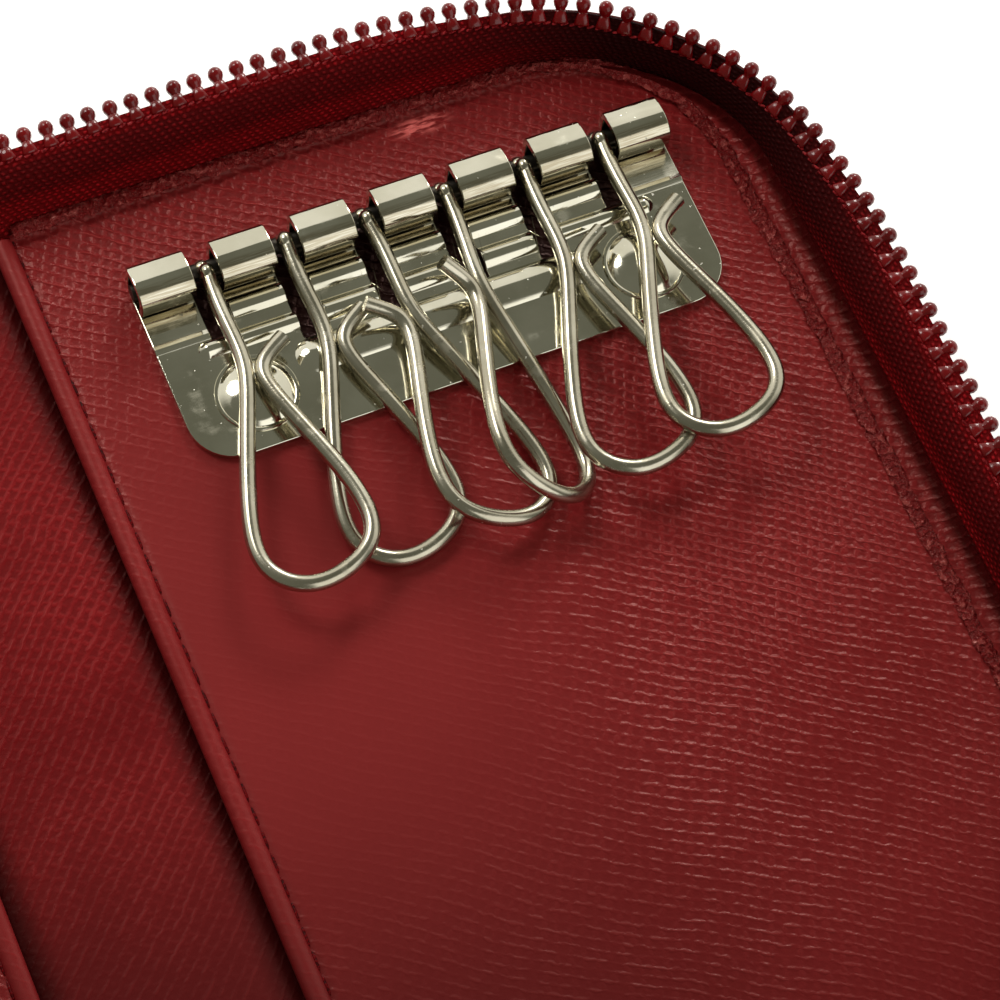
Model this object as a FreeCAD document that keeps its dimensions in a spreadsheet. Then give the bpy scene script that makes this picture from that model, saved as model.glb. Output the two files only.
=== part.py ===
import FreeCAD, Part
import math
import os
import re
import Sketcher

# Open zip-around key case: a leather spine with two folding halves, a zip round their edges
# and a key plate with six spring hooks on the right half. All sizes are in millimetres.
# X runs across the case, Y along the spine towards the hinge rod, Z up from the resting surface.

SIZES = {
    # Leather shell
    "spine_width": 19.5,
    "lining_width": 80.0,
    "lining_length": 116.0,
    "seam_corner_radius": 21.5,
    "cover_thickness": 1.2,
    "cover_margin": 2.0,
    "lining_thickness": 1.0,
    "fold_clearance": 0.3,
    "edge_strip_width": 3.0,
    "edge_strip_height": 0.5,
    "board_clearance": 0.3,
    # Zip tape, as a wall that stands on the seam and flares outward
    "tape_thickness": 0.8,
    "tape_flange": 4.0,
    "tape_seam_gap": 0.1,
    "tape_bend_radius": 0.6,
    "tape_wall_angle": 80.0,
    "tape_flare_radius": 3.6,
    "tape_flare_angle": 15.0,
    "tape_inset_far": 0.4,
    "tape_inset_near": 7.0,
    # Zip teeth
    "tooth_pitch": 2.35,
    "tooth_width": 1.1,
    "jaw_length": 1.0,
    "jaw_thickness": 1.9,
    "neck_radius": 0.48,
    "tooth_reach": 2.3,
    "ball_radius": 0.78,
    "middle_gap": 0.15,
    "stop_length": 2.0,
    "stop_reach": 1.9,
    # Zip tail with slider and pull
    "tail_width": 14.0,
    "tail_tuck": 10.0,
    "tail_flat": 1.0,
    "tail_ramp": 4.0,
    "tail_rise": 1.0,
    "tail_length": 26.0,
    "chain_half_width": 2.4,
    "chain_overlap": 1.0,
    "slider_length": 8.5,
    "slider_width": 9.0,
    "slider_corner_radius": 2.0,
    "slider_wing": 0.9,
    "bridge_width": 2.0,
    "bridge_length": 2.0,
    "arch_length": 5.0,
    "arch_height": 2.8,
    "arch_wall": 0.9,
    "arch_width": 1.8,
    "pull_bar_radius": 0.5,
    "pull_bar_height": 1.25,
    "pull_width": 6.0,
    "pull_length": 20.0,
    "pull_thickness": 1.2,
    "pull_lip": 0.8,
    "pull_clearance": 0.4,
    "pull_corner_radius": 1.4,
    "tab_grip": 8.0,
    "tab_overhang": 3.0,
    "tab_side": 1.0,
    "tab_leather": 1.2,
    # Key plate, measured from the hinge rod
    "plate_inset": 11.1,
    "plate_margin": 8.8,
    "hook_gap": 2.9,
    "plate_drop": 12.2,
    "plate_depth": 21.2,
    "plate_thickness": 0.8,
    "plate_corner_radius": 5.0,
    "curl_radius": 2.8,
    "curl_end_angle": 215.0,
    "outer_slot_depth": 8.0,
    "inner_slot_depth": 11.0,
    "slot_corner_radius": 1.2,
    "rib_margin": 0.6,
    "rib_upper": 3.9,
    "rib_lower": 6.2,
    "far_rib_upper": 9.8,
    "far_rib_lower": 14.4,
    "rib_height": 0.4,
    "rod_radius": 0.9,
    "dimple_radius": 1.0,
    "dimple_outer_inset": 5.3,
    "dimple_outer_drop": 9.6,
    "dimple_inner_inset": 15.4,
    "dimple_inner_drop": 12.6,
    # Rivets of the key plate
    "rivet_inset": 8.1,
    "rivet_drop": 15.0,
    "rivet_shank_radius": 1.5,
    "rivet_fit": 0.05,
    "rivet_back_radius": 3.0,
    "rivet_flange_radius": 4.3,
    "rivet_flange": 0.35,
    "rivet_dome_radius": 3.2,
    "rivet_dome_height": 0.9,
    # Spring hooks
    "wire_radius": 0.8,
    "wire_rise": 1.3,
    "eye_radius": 1.6,
    "eye_width": 2.3,
    "eye_clearance": 0.05,
    "hook_spacing": 0.4,
    "hook_length": 36.2,
    "hook_shank": 10.0,
    "hook_bend_radius": 5.0,
    "throat_drop": 13.0,
    "throat_bend_radius": 1.6,
    "tip_length": 3.6,
    "tip_angle": 24.0,
    "tip_inset": 0.1,
}

HOOK_COUNT = 6
KNUCKLE_COUNT = 7

# Sizes that follow from the ones above, in the same words.
DERIVED = {
    "fold_x": "spine_width / 2",
    "setback": "tape_thickness + lining_thickness + fold_clearance",
    "half_length": "lining_length / 2",
    "lining_top": "cover_thickness + tape_thickness + lining_thickness",
    "wall_rise": "tape_bend_radius + tape_thickness / 2",
    "flare_middle": "tape_flare_radius + tape_thickness / 2",
    "sin_wall": "sin(tape_wall_angle * 1 deg)",
    "cos_wall": "cos(tape_wall_angle * 1 deg)",
    "sin_flare": "sin(tape_flare_angle * 1 deg)",
    "cos_flare": "cos(tape_flare_angle * 1 deg)",
    "edge_height": "spine_width / 2 - middle_gap - ball_radius - tooth_reach * sin_flare",
    "wall_straight": "(edge_height - tape_thickness / 2 - wall_rise * (1 - cos_wall)"
                     " - flare_middle * (cos_flare - cos_wall)) / sin_wall",
    "edge_reach": "tape_seam_gap + wall_rise * sin_wall + wall_straight * cos_wall"
                  " + flare_middle * (sin_wall - sin_flare)",
    "tail_middle": "tail_rise + tape_thickness / 2",
    "slider_y": "tail_flat + tail_ramp + slider_length / 2",
    "stop_y": "tail_length - tab_grip - stop_length",
    "pull_window": "sqrt((arch_length / 2)^2 + (arch_height - pull_bar_height)^2) + pull_clearance",
    "plate_x": "setback + plate_inset",
    "plate_length": "lining_width - plate_inset - plate_margin",
    "knuckle_width": f"(plate_length - {HOOK_COUNT} * hook_gap) / {KNUCKLE_COUNT}",
    "hook_pitch": "knuckle_width + hook_gap",
    "rod_y": "half_length - plate_drop",
    "rod_height": "plate_thickness + rod_radius",
    "lobe_radius": "(hook_pitch - hook_spacing) / 2 - wire_radius",
    "throat_side": "lobe_radius - tip_length * sin(tip_angle * 1 deg) - tip_inset",
}

TURNED_HOOKS = (3, 4)
HALVES = {"right": 0, "left": 180}
ORIGIN = (-1, 1)

doc = FreeCAD.newDocument("key_case")
sheet = doc.addObject("Spreadsheet::Sheet", "Sizes")
for row, (alias, amount) in enumerate(SIZES.items(), start=1):
    sheet.set(f"A{row}", alias)
    sheet.set(f"B{row}", str(amount))
    sheet.setAlias(f"B{row}", alias)
doc.recompute()

parts = []


def formula(text):
    """Write out a size in words as an expression on the sheet."""

    def spell(word):
        name = word.group(0)
        if name in DERIVED:
            return "(" + formula(DERIVED[name]) + ")"
        return f"Sizes.{name}" if name in SIZES else name

    return re.sub(r"[a-z][a-z_]*", spell, text)


def value(text):
    """Present amount of a size in words."""
    return float(sheet.evalExpression(formula(text)))


def tie(item, properties):
    """Bind properties of an object to sizes in words."""
    for name, text in properties.items():
        item.setExpression(name, formula(text))


def keep(item, label):
    """Register an object as a finished sub-part under its label."""
    item.Label = label
    parts.append(item)
    return item


def place(item, x, y, z, turn=0):
    """Put a sub-part at a position in words, turned about the vertical."""
    item.Placement = FreeCAD.Placement(FreeCAD.Vector(), FreeCAD.Rotation(FreeCAD.Vector(0, 0, 1), turn))
    offsets = {"Placement.Base.x": x, "Placement.Base.y": y, "Placement.Base.z": z}
    tie(item, {name: text for name, text in offsets.items() if text != "0"})


def place_on_half(item, half, x, y, z):
    """Place a sub-part measured from the fold line of a half; the left half is the right one turned round."""
    sign = "" if half == "right" else "-1 * "
    place(item, f"{sign}(fold_x + {x})", f"{sign}({y})", z, HALVES[half])


def box(label, corner, extents):
    """Block between a corner and its extents, both in words."""
    block = keep(doc.addObject("Part::Box", label), label)
    tie(block, dict(zip(("Length", "Width", "Height"), extents)))
    place(block, *corner)
    return block


def new_body(label):
    """Empty body kept as a sub-part."""
    return keep(doc.addObject("PartDesign::Body", label), label)


def new_sketch(body, plane, offset=None):
    """Sketch on one of the body's own origin planes, lifted by an offset in words."""
    support = next(item for item in body.Origin.OriginFeatures if item.Name.startswith(plane))
    sketch = body.newObject("Sketcher::SketchObject", "Sketch")
    sketch.AttachmentSupport = (support, [""])
    sketch.MapMode = "FlatFace"
    if offset:
        tie(sketch, {"AttachmentOffset.Base.z": offset})
    return sketch


def put_on_axis(sketch, element, end, upright=True):
    """Put a point of an element on the sketch's upright axis, or on its level one."""
    sketch.addConstraint(Sketcher.Constraint("PointOnObject", element, end, -2 if upright else -1))


def datum(sketch, kind, references, text):
    """Dimension tied to the sheet; a distance of zero puts the point on the axis."""
    if text == "0":
        put_on_axis(sketch, *references[-2:], upright=kind == "DistanceX")
        return
    amount = value(text)
    if kind == "Angle":
        amount = math.radians(amount)
    index = sketch.addConstraint(Sketcher.Constraint(kind, *references, amount))
    sketch.setExpression(f"Constraints[{index}]", formula(text))


def pin_point(sketch, element, end, x, y):
    """Fix a point of an element at a position in words."""
    datum(sketch, "DistanceX", (*ORIGIN, element, end), x)
    datum(sketch, "DistanceY", (*ORIGIN, element, end), y)


def line(start, end):
    """Straight stroke with the numbers of its first and last point."""
    return Part.LineSegment(FreeCAD.Vector(*start, 0), FreeCAD.Vector(*end, 0)), 1, 2


def arc(centre, radius, first, last):
    """Round stroke from one angle to another in degrees, with the numbers of its first and last point."""
    circle = Part.Circle(FreeCAD.Vector(*centre, 0), FreeCAD.Vector(0, 0, 1), radius)
    low, high = sorted((math.radians(first), math.radians(last)))
    ends = (1, 2) if last > first else (2, 1)
    return Part.ArcOfCircle(circle, low, high), *ends


def draw(sketch, strokes, closed=True):
    """Add strokes end to end, tangent wherever a round stroke is marked smooth."""
    numbers = [sketch.addGeometry(stroke[0], False) for stroke in strokes]
    count = len(strokes) if closed else len(strokes) - 1
    for here in range(count):
        after = (here + 1) % len(strokes)
        ends = (numbers[here], strokes[here][2], numbers[after], strokes[after][1])
        smooth = strokes[here][3:] == (True,)
        sketch.addConstraint(Sketcher.Constraint("Tangent" if smooth else "Coincident", *ends))
    return numbers


def smooth(stroke):
    """Mark a stroke as running on smoothly into the next."""
    return (*stroke, True)


def circle(sketch, x, y, radius):
    """Full circle at a position in words."""
    ring = Part.Circle(FreeCAD.Vector(value(x), value(y), 0), FreeCAD.Vector(0, 0, 1), value(radius))
    number = sketch.addGeometry(ring, False)
    pin_point(sketch, number, 3, x, y)
    datum(sketch, "Radius", (number,), radius)


def rectangle(sketch, left, right, bottom, top, radius=None, rounded=()):
    """Upright rectangle; rounded lists corners, from lower left anticlockwise, that get the radius."""
    x0, x1, y0, y1 = value(left), value(right), value(bottom), value(top)
    size = value(radius) if rounded else 0
    corners = ((x0, y0), (x1, y0), (x1, y1), (x0, y1))
    headings = ((1, 0), (0, 1), (-1, 0), (0, -1))
    strokes, sides, rounds = [], [], []
    for number, (corner, heading) in enumerate(zip(corners, headings)):
        before = headings[number - 1]
        following = (number + 1) % 4
        target = corners[following]
        first = size if number in rounded else 0
        last = size if following in rounded else 0
        if number in rounded:
            centre = [c + (h - b) * size for c, h, b in zip(corner, heading, before)]
            rounds.append(len(strokes))
            strokes.append(smooth(arc(centre, size, 180 + 90 * number, 270 + 90 * number)))
        start = [c + h * first for c, h in zip(corner, heading)]
        end = [c - h * last for c, h in zip(target, heading)]
        sides.append(len(strokes))
        side = line(start, end)
        strokes.append(smooth(side) if following in rounded else side)
    numbers = draw(sketch, strokes)
    for order, side in enumerate(sides):
        sketch.addConstraint(Sketcher.Constraint("Vertical" if order % 2 else "Horizontal", numbers[side]))
    for order, text, kind in ((3, left, "DistanceX"), (1, right, "DistanceX"),
                              (0, bottom, "DistanceY"), (2, top, "DistanceY")):
        datum(sketch, kind, (*ORIGIN, numbers[sides[order]], 1), text)
    for order, number in enumerate(rounds):
        if order == 0:
            datum(sketch, "Radius", (numbers[number],), radius)
        else:
            sketch.addConstraint(Sketcher.Constraint("Equal", numbers[rounds[0]], numbers[number]))


def polygon(sketch, points):
    """Closed outline through points in words."""
    spots = [(value(x), value(y)) for x, y in points]
    strokes = [line(spot, spots[(index + 1) % len(spots)]) for index, spot in enumerate(spots)]
    for number, (x, y) in zip(draw(sketch, strokes), points):
        pin_point(sketch, number, 1, x, y)


def pad(body, sketch, length, symmetric=False):
    """Raise a sketch by a length in words."""
    doc.recompute()
    feature = body.newObject("PartDesign::Pad", "Pad")
    feature.Profile = sketch
    feature.SideType = "Symmetric" if symmetric else "One side"
    tie(feature, {"Length": length})
    body.Tip = feature
    doc.recompute()
    return feature


def cut(body, sketch, symmetric=False):
    """Cut a sketch right through the body and see that material went away."""
    doc.recompute()
    before = body.Shape.Volume
    feature = body.newObject("PartDesign::Pocket", "Pocket")
    feature.Profile = sketch
    feature.Type = "ThroughAll"
    feature.SideType = "Symmetric" if symmetric else "One side"
    feature.Reversed = not symmetric
    body.Tip = feature
    doc.recompute()
    if body.Shape.Volume >= before:
        raise RuntimeError(f"{body.Label}: a cut removed nothing")
    return feature


def repeat(body, feature, sketch, axis, length, count, backward=False):
    """Repeat a feature in a row along an axis of its sketch, over a length in words."""
    pattern = body.newObject("PartDesign::LinearPattern", "LinearPattern")
    pattern.Originals = [feature]
    pattern.Direction = (sketch, [axis])
    pattern.Occurrences = count
    pattern.Reversed = backward
    tie(pattern, {"Length": length})
    body.Tip = pattern
    doc.recompute()
    return pattern


def sweep(body, profile, path):
    """Sweep a profile sketch along a path sketch."""
    doc.recompute()
    feature = body.newObject("PartDesign::AdditivePipe", "Pipe")
    feature.Profile = profile
    feature.Spine = path
    body.Tip = feature
    doc.recompute()


def rivet_holes(body, sketch, radius):
    """Holes for the two rivets of the key plate, measured from the fold line."""
    for x in ("plate_x + rivet_inset", "plate_x + plate_length - rivet_inset"):
        circle(sketch, x, "rod_y - rivet_drop", radius)
    cut(body, sketch)


# Leather shell
def make_spine():
    """Outer leather, stiff board and lining of the spine."""
    cover_half = "half_length + cover_margin"
    box("outer_spine", ("-1 * fold_x", f"-1 * ({cover_half})", "0"),
        ("spine_width", f"2 * ({cover_half})", "cover_thickness"))
    board_near = "half_length - tail_tuck - board_clearance"
    box("spine_board", ("-1 * fold_x", f"-1 * ({board_near})", "cover_thickness"),
        ("spine_width", f"{board_near} + half_length", "tape_thickness"))
    box("spine_lining", ("-1 * fold_x", "-1 * half_length", "cover_thickness + tape_thickness"),
        ("spine_width", "lining_length", "lining_thickness"))


def make_cover(half):
    """Outer leather of one half, from the fold line to just past the seam."""
    body = new_body(f"outer_cover_{half}")
    sketch = new_sketch(body, "XY_Plane")
    reach = "half_length + cover_margin"
    rectangle(sketch, "0", "setback + lining_width + cover_margin", f"-1 * ({reach})", reach,
              "seam_corner_radius + cover_margin", rounded=(1, 2))
    pad(body, sketch, "cover_thickness")
    place_on_half(body, half, "0", "0", "0")


def make_board(half):
    """Stiff board inside one half, as thick as the zip tape that runs round it."""
    body = new_body(f"backing_board_{half}")
    sketch = new_sketch(body, "XY_Plane")
    inset = "(tape_flange + board_clearance)"
    reach = f"half_length - {inset}"
    rectangle(sketch, "setback", f"setback + lining_width - {inset}", f"-1 * ({reach})", reach,
              f"seam_corner_radius - {inset}", rounded=(1, 2))
    pad(body, sketch, "tape_thickness")
    if half == "right":
        rivet_holes(body, new_sketch(body, "XY_Plane"), "rivet_back_radius + rivet_fit")
    place_on_half(body, half, "0", "0", "cover_thickness")


def make_lining(half):
    """Lining leather of one half, with the turned strip along its spine edge."""
    body = new_body(f"lining_panel_{half}")
    sketch = new_sketch(body, "XY_Plane")
    rectangle(sketch, "setback", "setback + lining_width", "-1 * half_length", "half_length",
              "seam_corner_radius", rounded=(1, 2))
    pad(body, sketch, "lining_thickness")
    strip = new_sketch(body, "XY_Plane", "lining_thickness")
    rectangle(strip, "setback", "setback + edge_strip_width", "-1 * half_length", "half_length")
    pad(body, strip, "edge_strip_height")
    if half == "right":
        rivet_holes(body, new_sketch(body, "XY_Plane"), "rivet_shank_radius + rivet_fit")
    place_on_half(body, half, "0", "0", "cover_thickness + tape_thickness")


# Zip
def tape_insets(half):
    """Distances of the tape's first and last end from the lining's spine edge."""
    insets = ("tape_inset_far", "tape_inset_near")
    return insets if half == "right" else insets[::-1]


def tape_profile(sketch):
    """Section of the tape: flange under the lining, bend, wall and outward flare."""
    thick = value("tape_thickness")
    wall, flare = value("tape_wall_angle"), value("tape_flare_angle")
    bend_in, flare_out = value("tape_bend_radius"), value("tape_flare_radius")
    bend_out, flare_in = bend_in + thick, flare_out + thick
    start, gap = -value("tape_flange"), value("tape_seam_gap")
    up = FreeCAD.Vector(math.cos(math.radians(wall)), math.sin(math.radians(wall)), 0)
    side = FreeCAD.Vector(up.y, -up.x, 0)
    out = FreeCAD.Vector(math.cos(math.radians(flare + 90)), math.sin(math.radians(flare + 90)), 0)
    bend = FreeCAD.Vector(gap, bend_out, 0)
    run = up * value("wall_straight")
    turn = bend + side * (bend_out + flare_out) + run

    def spot(vector):
        return vector.x, vector.y

    outer_foot, inner_foot = bend + side * bend_out, bend + side * bend_in
    outer_end, inner_end = turn + out * flare_out, turn + out * flare_in
    strokes = (
        smooth(line((start, 0), (gap, 0))),
        smooth(arc(spot(bend), bend_out, -90, wall - 90)),
        smooth(line(spot(outer_foot), spot(outer_foot + run))),
        arc(spot(turn), flare_out, wall + 90, flare + 90),
        line(spot(outer_end), spot(inner_end)),
        smooth(arc(spot(turn), flare_in, flare + 90, wall + 90)),
        smooth(line(spot(inner_foot + run), spot(inner_foot))),
        smooth(arc(spot(bend), bend_in, wall - 90, -90)),
        line((gap, thick), (start, thick)),
        line((start, thick), (start, 0)),
    )
    base, bend_outer, rise, flare_outer, edge, flare_inner, _, bend_inner, top, end = draw(sketch, strokes)
    for number in (base, top):
        sketch.addConstraint(Sketcher.Constraint("Horizontal", number))
    sketch.addConstraint(Sketcher.Constraint("Vertical", end))
    sketch.addConstraint(Sketcher.Constraint("Coincident", bend_outer, 3, bend_inner, 3))
    sketch.addConstraint(Sketcher.Constraint("Coincident", flare_outer, 3, flare_inner, 3))
    sketch.addConstraint(Sketcher.Constraint("PointOnObject", flare_outer, 3, edge))
    pin_point(sketch, base, 1, "-1 * tape_flange", "0")
    datum(sketch, "Distance", (end,), "tape_thickness")
    datum(sketch, "DistanceX", (*ORIGIN, bend_inner, 3), "tape_seam_gap")
    datum(sketch, "Radius", (bend_inner,), "tape_bend_radius")
    datum(sketch, "Angle", (rise,), "tape_wall_angle")
    datum(sketch, "Radius", (flare_outer,), "tape_flare_radius")
    datum(sketch, "Radius", (flare_inner,), "tape_flare_radius + tape_thickness")
    datum(sketch, "Angle", (edge,), "tape_flare_angle + 90")
    datum(sketch, "DistanceY", (*ORIGIN, edge, 2), "edge_height + tape_thickness / 2 * cos_flare")


def tape_path(sketch, first, last):
    """Seam line round a half, from its first end across, down the free side and back."""
    across = value(f"lining_width - {first}")
    back = value(f"{last} - {first}")
    length, radius = value("lining_length"), value("seam_corner_radius")
    strokes = (
        smooth(line((0, 0), (across - radius, 0))),
        smooth(arc((across - radius, -radius), radius, 90, 0)),
        smooth(line((across, -radius), (across, radius - length))),
        smooth(arc((across - radius, radius - length), radius, 0, -90)),
        line((across - radius, -length), (back, -length)),
    )
    there, corner, down, other, home = draw(sketch, strokes, closed=False)
    sketch.addConstraint(Sketcher.Constraint("Coincident", there, 1, *ORIGIN))
    sketch.addConstraint(Sketcher.Constraint("Horizontal", there))
    sketch.addConstraint(Sketcher.Constraint("Equal", corner, other))
    sketch.addConstraint(Sketcher.Constraint("Vertical", down))
    datum(sketch, "Radius", (corner,), "seam_corner_radius")
    datum(sketch, "DistanceX", (*ORIGIN, down, 1), f"lining_width - {first}")
    pin_point(sketch, home, 2, f"{last} - {first}", "-1 * lining_length")


def make_tape(half):
    """Zip tape of one half, swept round the seam."""
    first, last = tape_insets(half)
    body = new_body(f"zip_tape_{half}")
    profile = new_sketch(body, "YZ_Plane")
    tape_profile(profile)
    path = new_sketch(body, "XY_Plane")
    tape_path(path, first, last)
    sweep(body, profile, path)
    place_on_half(body, half, f"setback + {first}", "half_length", "cover_thickness")


def tooth_shape():
    """One zip tooth pointing along Y from the tape's edge: jaws, neck and ball head."""
    width, thick = value("tooth_width"), value("jaw_thickness")
    jaw_length, reach = value("jaw_length"), value("tooth_reach")
    jaws = Part.makeBox(width, jaw_length, thick, FreeCAD.Vector(-width / 2, 0, -thick / 2))
    root = FreeCAD.Vector(0, jaw_length / 2, 0)
    neck = Part.makeCylinder(value("neck_radius"), reach - jaw_length / 2, root, FreeCAD.Vector(0, 1, 0))
    ball = Part.makeSphere(value("ball_radius"), FreeCAD.Vector(0, reach, 0))
    return jaws.fuse([neck, ball])


def edge_station(distance, first):
    """Place and heading along the tape's edge at a distance from its first end."""
    reach, radius = value("edge_reach"), value("seam_corner_radius")
    across = value(f"lining_width - {first}")
    length = value("lining_length")
    bend = radius + reach
    quarter = bend * math.pi / 2
    top, side = across - radius, length - 2 * radius
    if distance < top:
        return FreeCAD.Vector(distance, reach, 0), 0
    distance -= top
    if distance < quarter:
        angle = distance / bend
        return FreeCAD.Vector(top + bend * math.sin(angle), bend * math.cos(angle) - radius, 0), -angle
    distance -= quarter
    if distance < side:
        return FreeCAD.Vector(across + reach, -radius - distance, 0), -math.pi / 2
    distance -= side
    if distance < quarter:
        angle = math.pi / 2 + distance / bend
        spot = FreeCAD.Vector(top + bend * math.sin(angle), bend * math.cos(angle) + radius - length, 0)
        return spot, -angle
    distance -= quarter
    return FreeCAD.Vector(top - distance, -length - reach, 0), -math.pi


def make_teeth(half):
    """Row of teeth along the edge of one tape, between its stop and its near end."""
    first, last = tape_insets(half)
    radius, reach = value("seam_corner_radius"), value("edge_reach")
    total = value(f"2 * lining_width + lining_length - 4 * seam_corner_radius - {first} - {last}")
    total += math.pi * (radius + reach)
    pitch, stop = value("tooth_pitch"), value("stop_length")
    ahead, behind = (stop + pitch, pitch) if half == "right" else (pitch, stop + pitch)
    count = int((total - ahead - behind) / pitch) + 1
    tooth = tooth_shape()
    tilt = FreeCAD.Rotation(FreeCAD.Vector(1, 0, 0), value("tape_flare_angle"))
    height = FreeCAD.Vector(0, 0, value("edge_height"))
    row = []
    for number in range(count):
        spot, heading = edge_station(ahead + number * pitch, first)
        turn = FreeCAD.Rotation(FreeCAD.Vector(0, 0, 1), math.degrees(heading))
        copy = tooth.copy()
        copy.Placement = FreeCAD.Placement(spot + height, turn.multiply(tilt))
        row.append(copy)
    teeth = keep(doc.addObject("Part::Feature", f"zip_teeth_{half}"), f"zip_teeth_{half}")
    teeth.Shape = Part.makeCompound(row)
    place_on_half(teeth, half, f"setback + {first}", "half_length", "cover_thickness")


def make_top_stop(half):
    """Small metal stop on the tape's edge at the far end of the spine."""
    name = f"zip_top_stop_{half}"
    start = "fold_x + setback + tape_inset_far"
    left = start if half == "right" else f"-1 * ({start}) - stop_length"
    stop = box(name, (left, "half_length + edge_reach + jaw_thickness / 2 * sin_flare",
                      "cover_thickness + edge_height - jaw_thickness / 2 * cos_flare"),
               ("stop_length", "stop_reach", "jaw_thickness"))
    stop.Placement.Rotation = FreeCAD.Rotation(FreeCAD.Vector(1, 0, 0), value("tape_flare_angle"))
    tie(stop, {"Placement.Rotation.Angle": "tape_flare_angle * 1 deg"})


def place_on_tail(item, y, z):
    """Place a sub-part at a distance out along the zip tail and a height above the outer leather."""
    place(item, "0", f"-1 * (half_length + cover_margin + {y})", f"cover_thickness + {z}")


def make_tail_tape():
    """Joined ends of the two tapes, from under the spine lining out past the case."""
    body = new_body("zip_tail_tape")
    sketch = new_sketch(body, "YZ_Plane")
    ramp_end = "-1 * (tail_flat + tail_ramp)"
    polygon(sketch, (
        ("tail_tuck - cover_margin", "0"),
        ("-1 * tail_flat", "0"),
        (ramp_end, "tail_rise"),
        ("-1 * tail_length", "tail_rise"),
        ("-1 * tail_length", "tail_rise + tape_thickness"),
        (ramp_end, "tail_rise + tape_thickness"),
        ("-1 * tail_flat", "tape_thickness"),
        ("tail_tuck - cover_margin", "tape_thickness"),
    ))
    pad(body, sketch, "tail_width", symmetric=True)
    slot = new_sketch(body, "XY_Plane")
    rectangle(slot, "-1 * chain_half_width", "chain_half_width", "-1 * (stop_y + stop_length)", ramp_end)
    cut(body, slot)
    place_on_tail(body, "0", "0")


def make_tail_teeth():
    """Closed stretch of chain in the tail, with teeth from both sides in turn."""
    body = new_body("zip_tail_teeth")
    sketch = new_sketch(body, "XY_Plane")
    first = "bridge_length"
    rectangle(sketch, "-1 * chain_half_width", "chain_overlap",
              f"-1 * ({first} + tooth_width)", f"-1 * ({first})")
    second = f"{first} + tooth_pitch / 2"
    rectangle(sketch, "-1 * chain_overlap", "chain_half_width",
              f"-1 * ({second} + tooth_width)", f"-1 * ({second})")
    teeth = pad(body, sketch, "jaw_thickness", symmetric=True)
    room = value("stop_y - tail_flat - tail_ramp - bridge_length")
    count = int(room / value("tooth_pitch"))
    repeat(body, teeth, sketch, "V_Axis", f"{count - 1} * tooth_pitch", count, backward=True)
    place_on_tail(body, "tail_flat + tail_ramp", "tail_middle")


def make_bottom_stop():
    """Metal block that ends the closed chain."""
    box("zip_bottom_stop",
        ("-1 * chain_half_width", "-1 * (half_length + cover_margin + stop_y + stop_length)",
         "cover_thickness + tail_middle - jaw_thickness / 2"),
        ("2 * chain_half_width", "stop_length", "jaw_thickness"))


def make_end_tab():
    """Folded leather tab that grips the end of the tail."""
    body = new_body("zip_end_tab")
    side = "tail_width / 2 + tab_side"
    outline = new_sketch(body, "XY_Plane")
    rectangle(outline, f"-1 * ({side})", side, "-1 * tab_overhang", "tab_grip", "tab_overhang", rounded=(0, 1))
    pad(body, outline, "2 * tab_leather + tape_thickness", symmetric=True)
    mouth = new_sketch(body, "YZ_Plane")
    rectangle(mouth, "0", "tab_grip", "-1 * tape_thickness / 2", "tape_thickness / 2")
    slot = body.newObject("PartDesign::Pocket", "Pocket")
    slot.Profile = mouth
    slot.SideType = "Symmetric"
    tie(slot, {"Length": "tail_width"})
    body.Tip = slot
    doc.recompute()
    place_on_tail(body, "tail_length", "tail_middle")


def make_slider():
    """Slider: two wings round the chain, a bridge between them and an arch for the pull."""
    body = new_body("zip_slider")
    side, reach = "slider_width / 2", "slider_length / 2"

    def add_wing(level):
        wing = new_sketch(body, "XY_Plane", level)
        rectangle(wing, f"-1 * {side}", side, f"-1 * {reach}", reach, "slider_corner_radius", rounded=(0, 1, 2, 3))
        pad(body, wing, "slider_wing")

    add_wing("-1 * (jaw_thickness / 2 + slider_wing)")
    bridge = new_sketch(body, "XY_Plane", "-1 * jaw_thickness / 2")
    rectangle(bridge, "-1 * bridge_width / 2", "bridge_width / 2", f"{reach} - bridge_length", reach)
    pad(body, bridge, "jaw_thickness")
    add_wing("jaw_thickness / 2")
    arch = new_sketch(body, "YZ_Plane")
    top = "jaw_thickness / 2 + slider_wing"
    span = "arch_length / 2"
    inner, crown = f"({span} - arch_wall)", f"{top} + arch_height"
    polygon(arch, (
        (f"-1 * {span}", top),
        (f"-1 * {inner}", top),
        (f"-1 * {inner}", f"{crown} - arch_wall"),
        (inner, f"{crown} - arch_wall"),
        (inner, top),
        (span, top),
        (span, crown),
        (f"-1 * {span}", crown),
    ))
    pad(body, arch, "arch_width", symmetric=True)
    place_on_tail(body, "slider_y", "tail_middle")


def make_pull():
    """Pull tab: a rounded plate whose cross bar turns in the slider's arch."""
    body = new_body("zip_pull")
    outline = new_sketch(body, "XY_Plane")
    rectangle(outline, "-1 * pull_width / 2", "pull_width / 2", "-1 * pull_length", "pull_lip",
              "pull_corner_radius", rounded=(0, 1))
    pad(body, outline, "pull_thickness", symmetric=True)
    window = new_sketch(body, "XY_Plane")
    inner = "arch_width / 2 + pull_clearance"
    rectangle(window, f"-1 * ({inner})", inner, "-1 * pull_window", "2 * pull_lip")
    cut(body, window, symmetric=True)
    bar = new_sketch(body, "YZ_Plane")
    circle(bar, "0", "0", "pull_bar_radius")
    pad(body, bar, "pull_width", symmetric=True)
    place_on_tail(body, "slider_y", "tail_middle + jaw_thickness / 2 + slider_wing + pull_bar_height")


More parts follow.
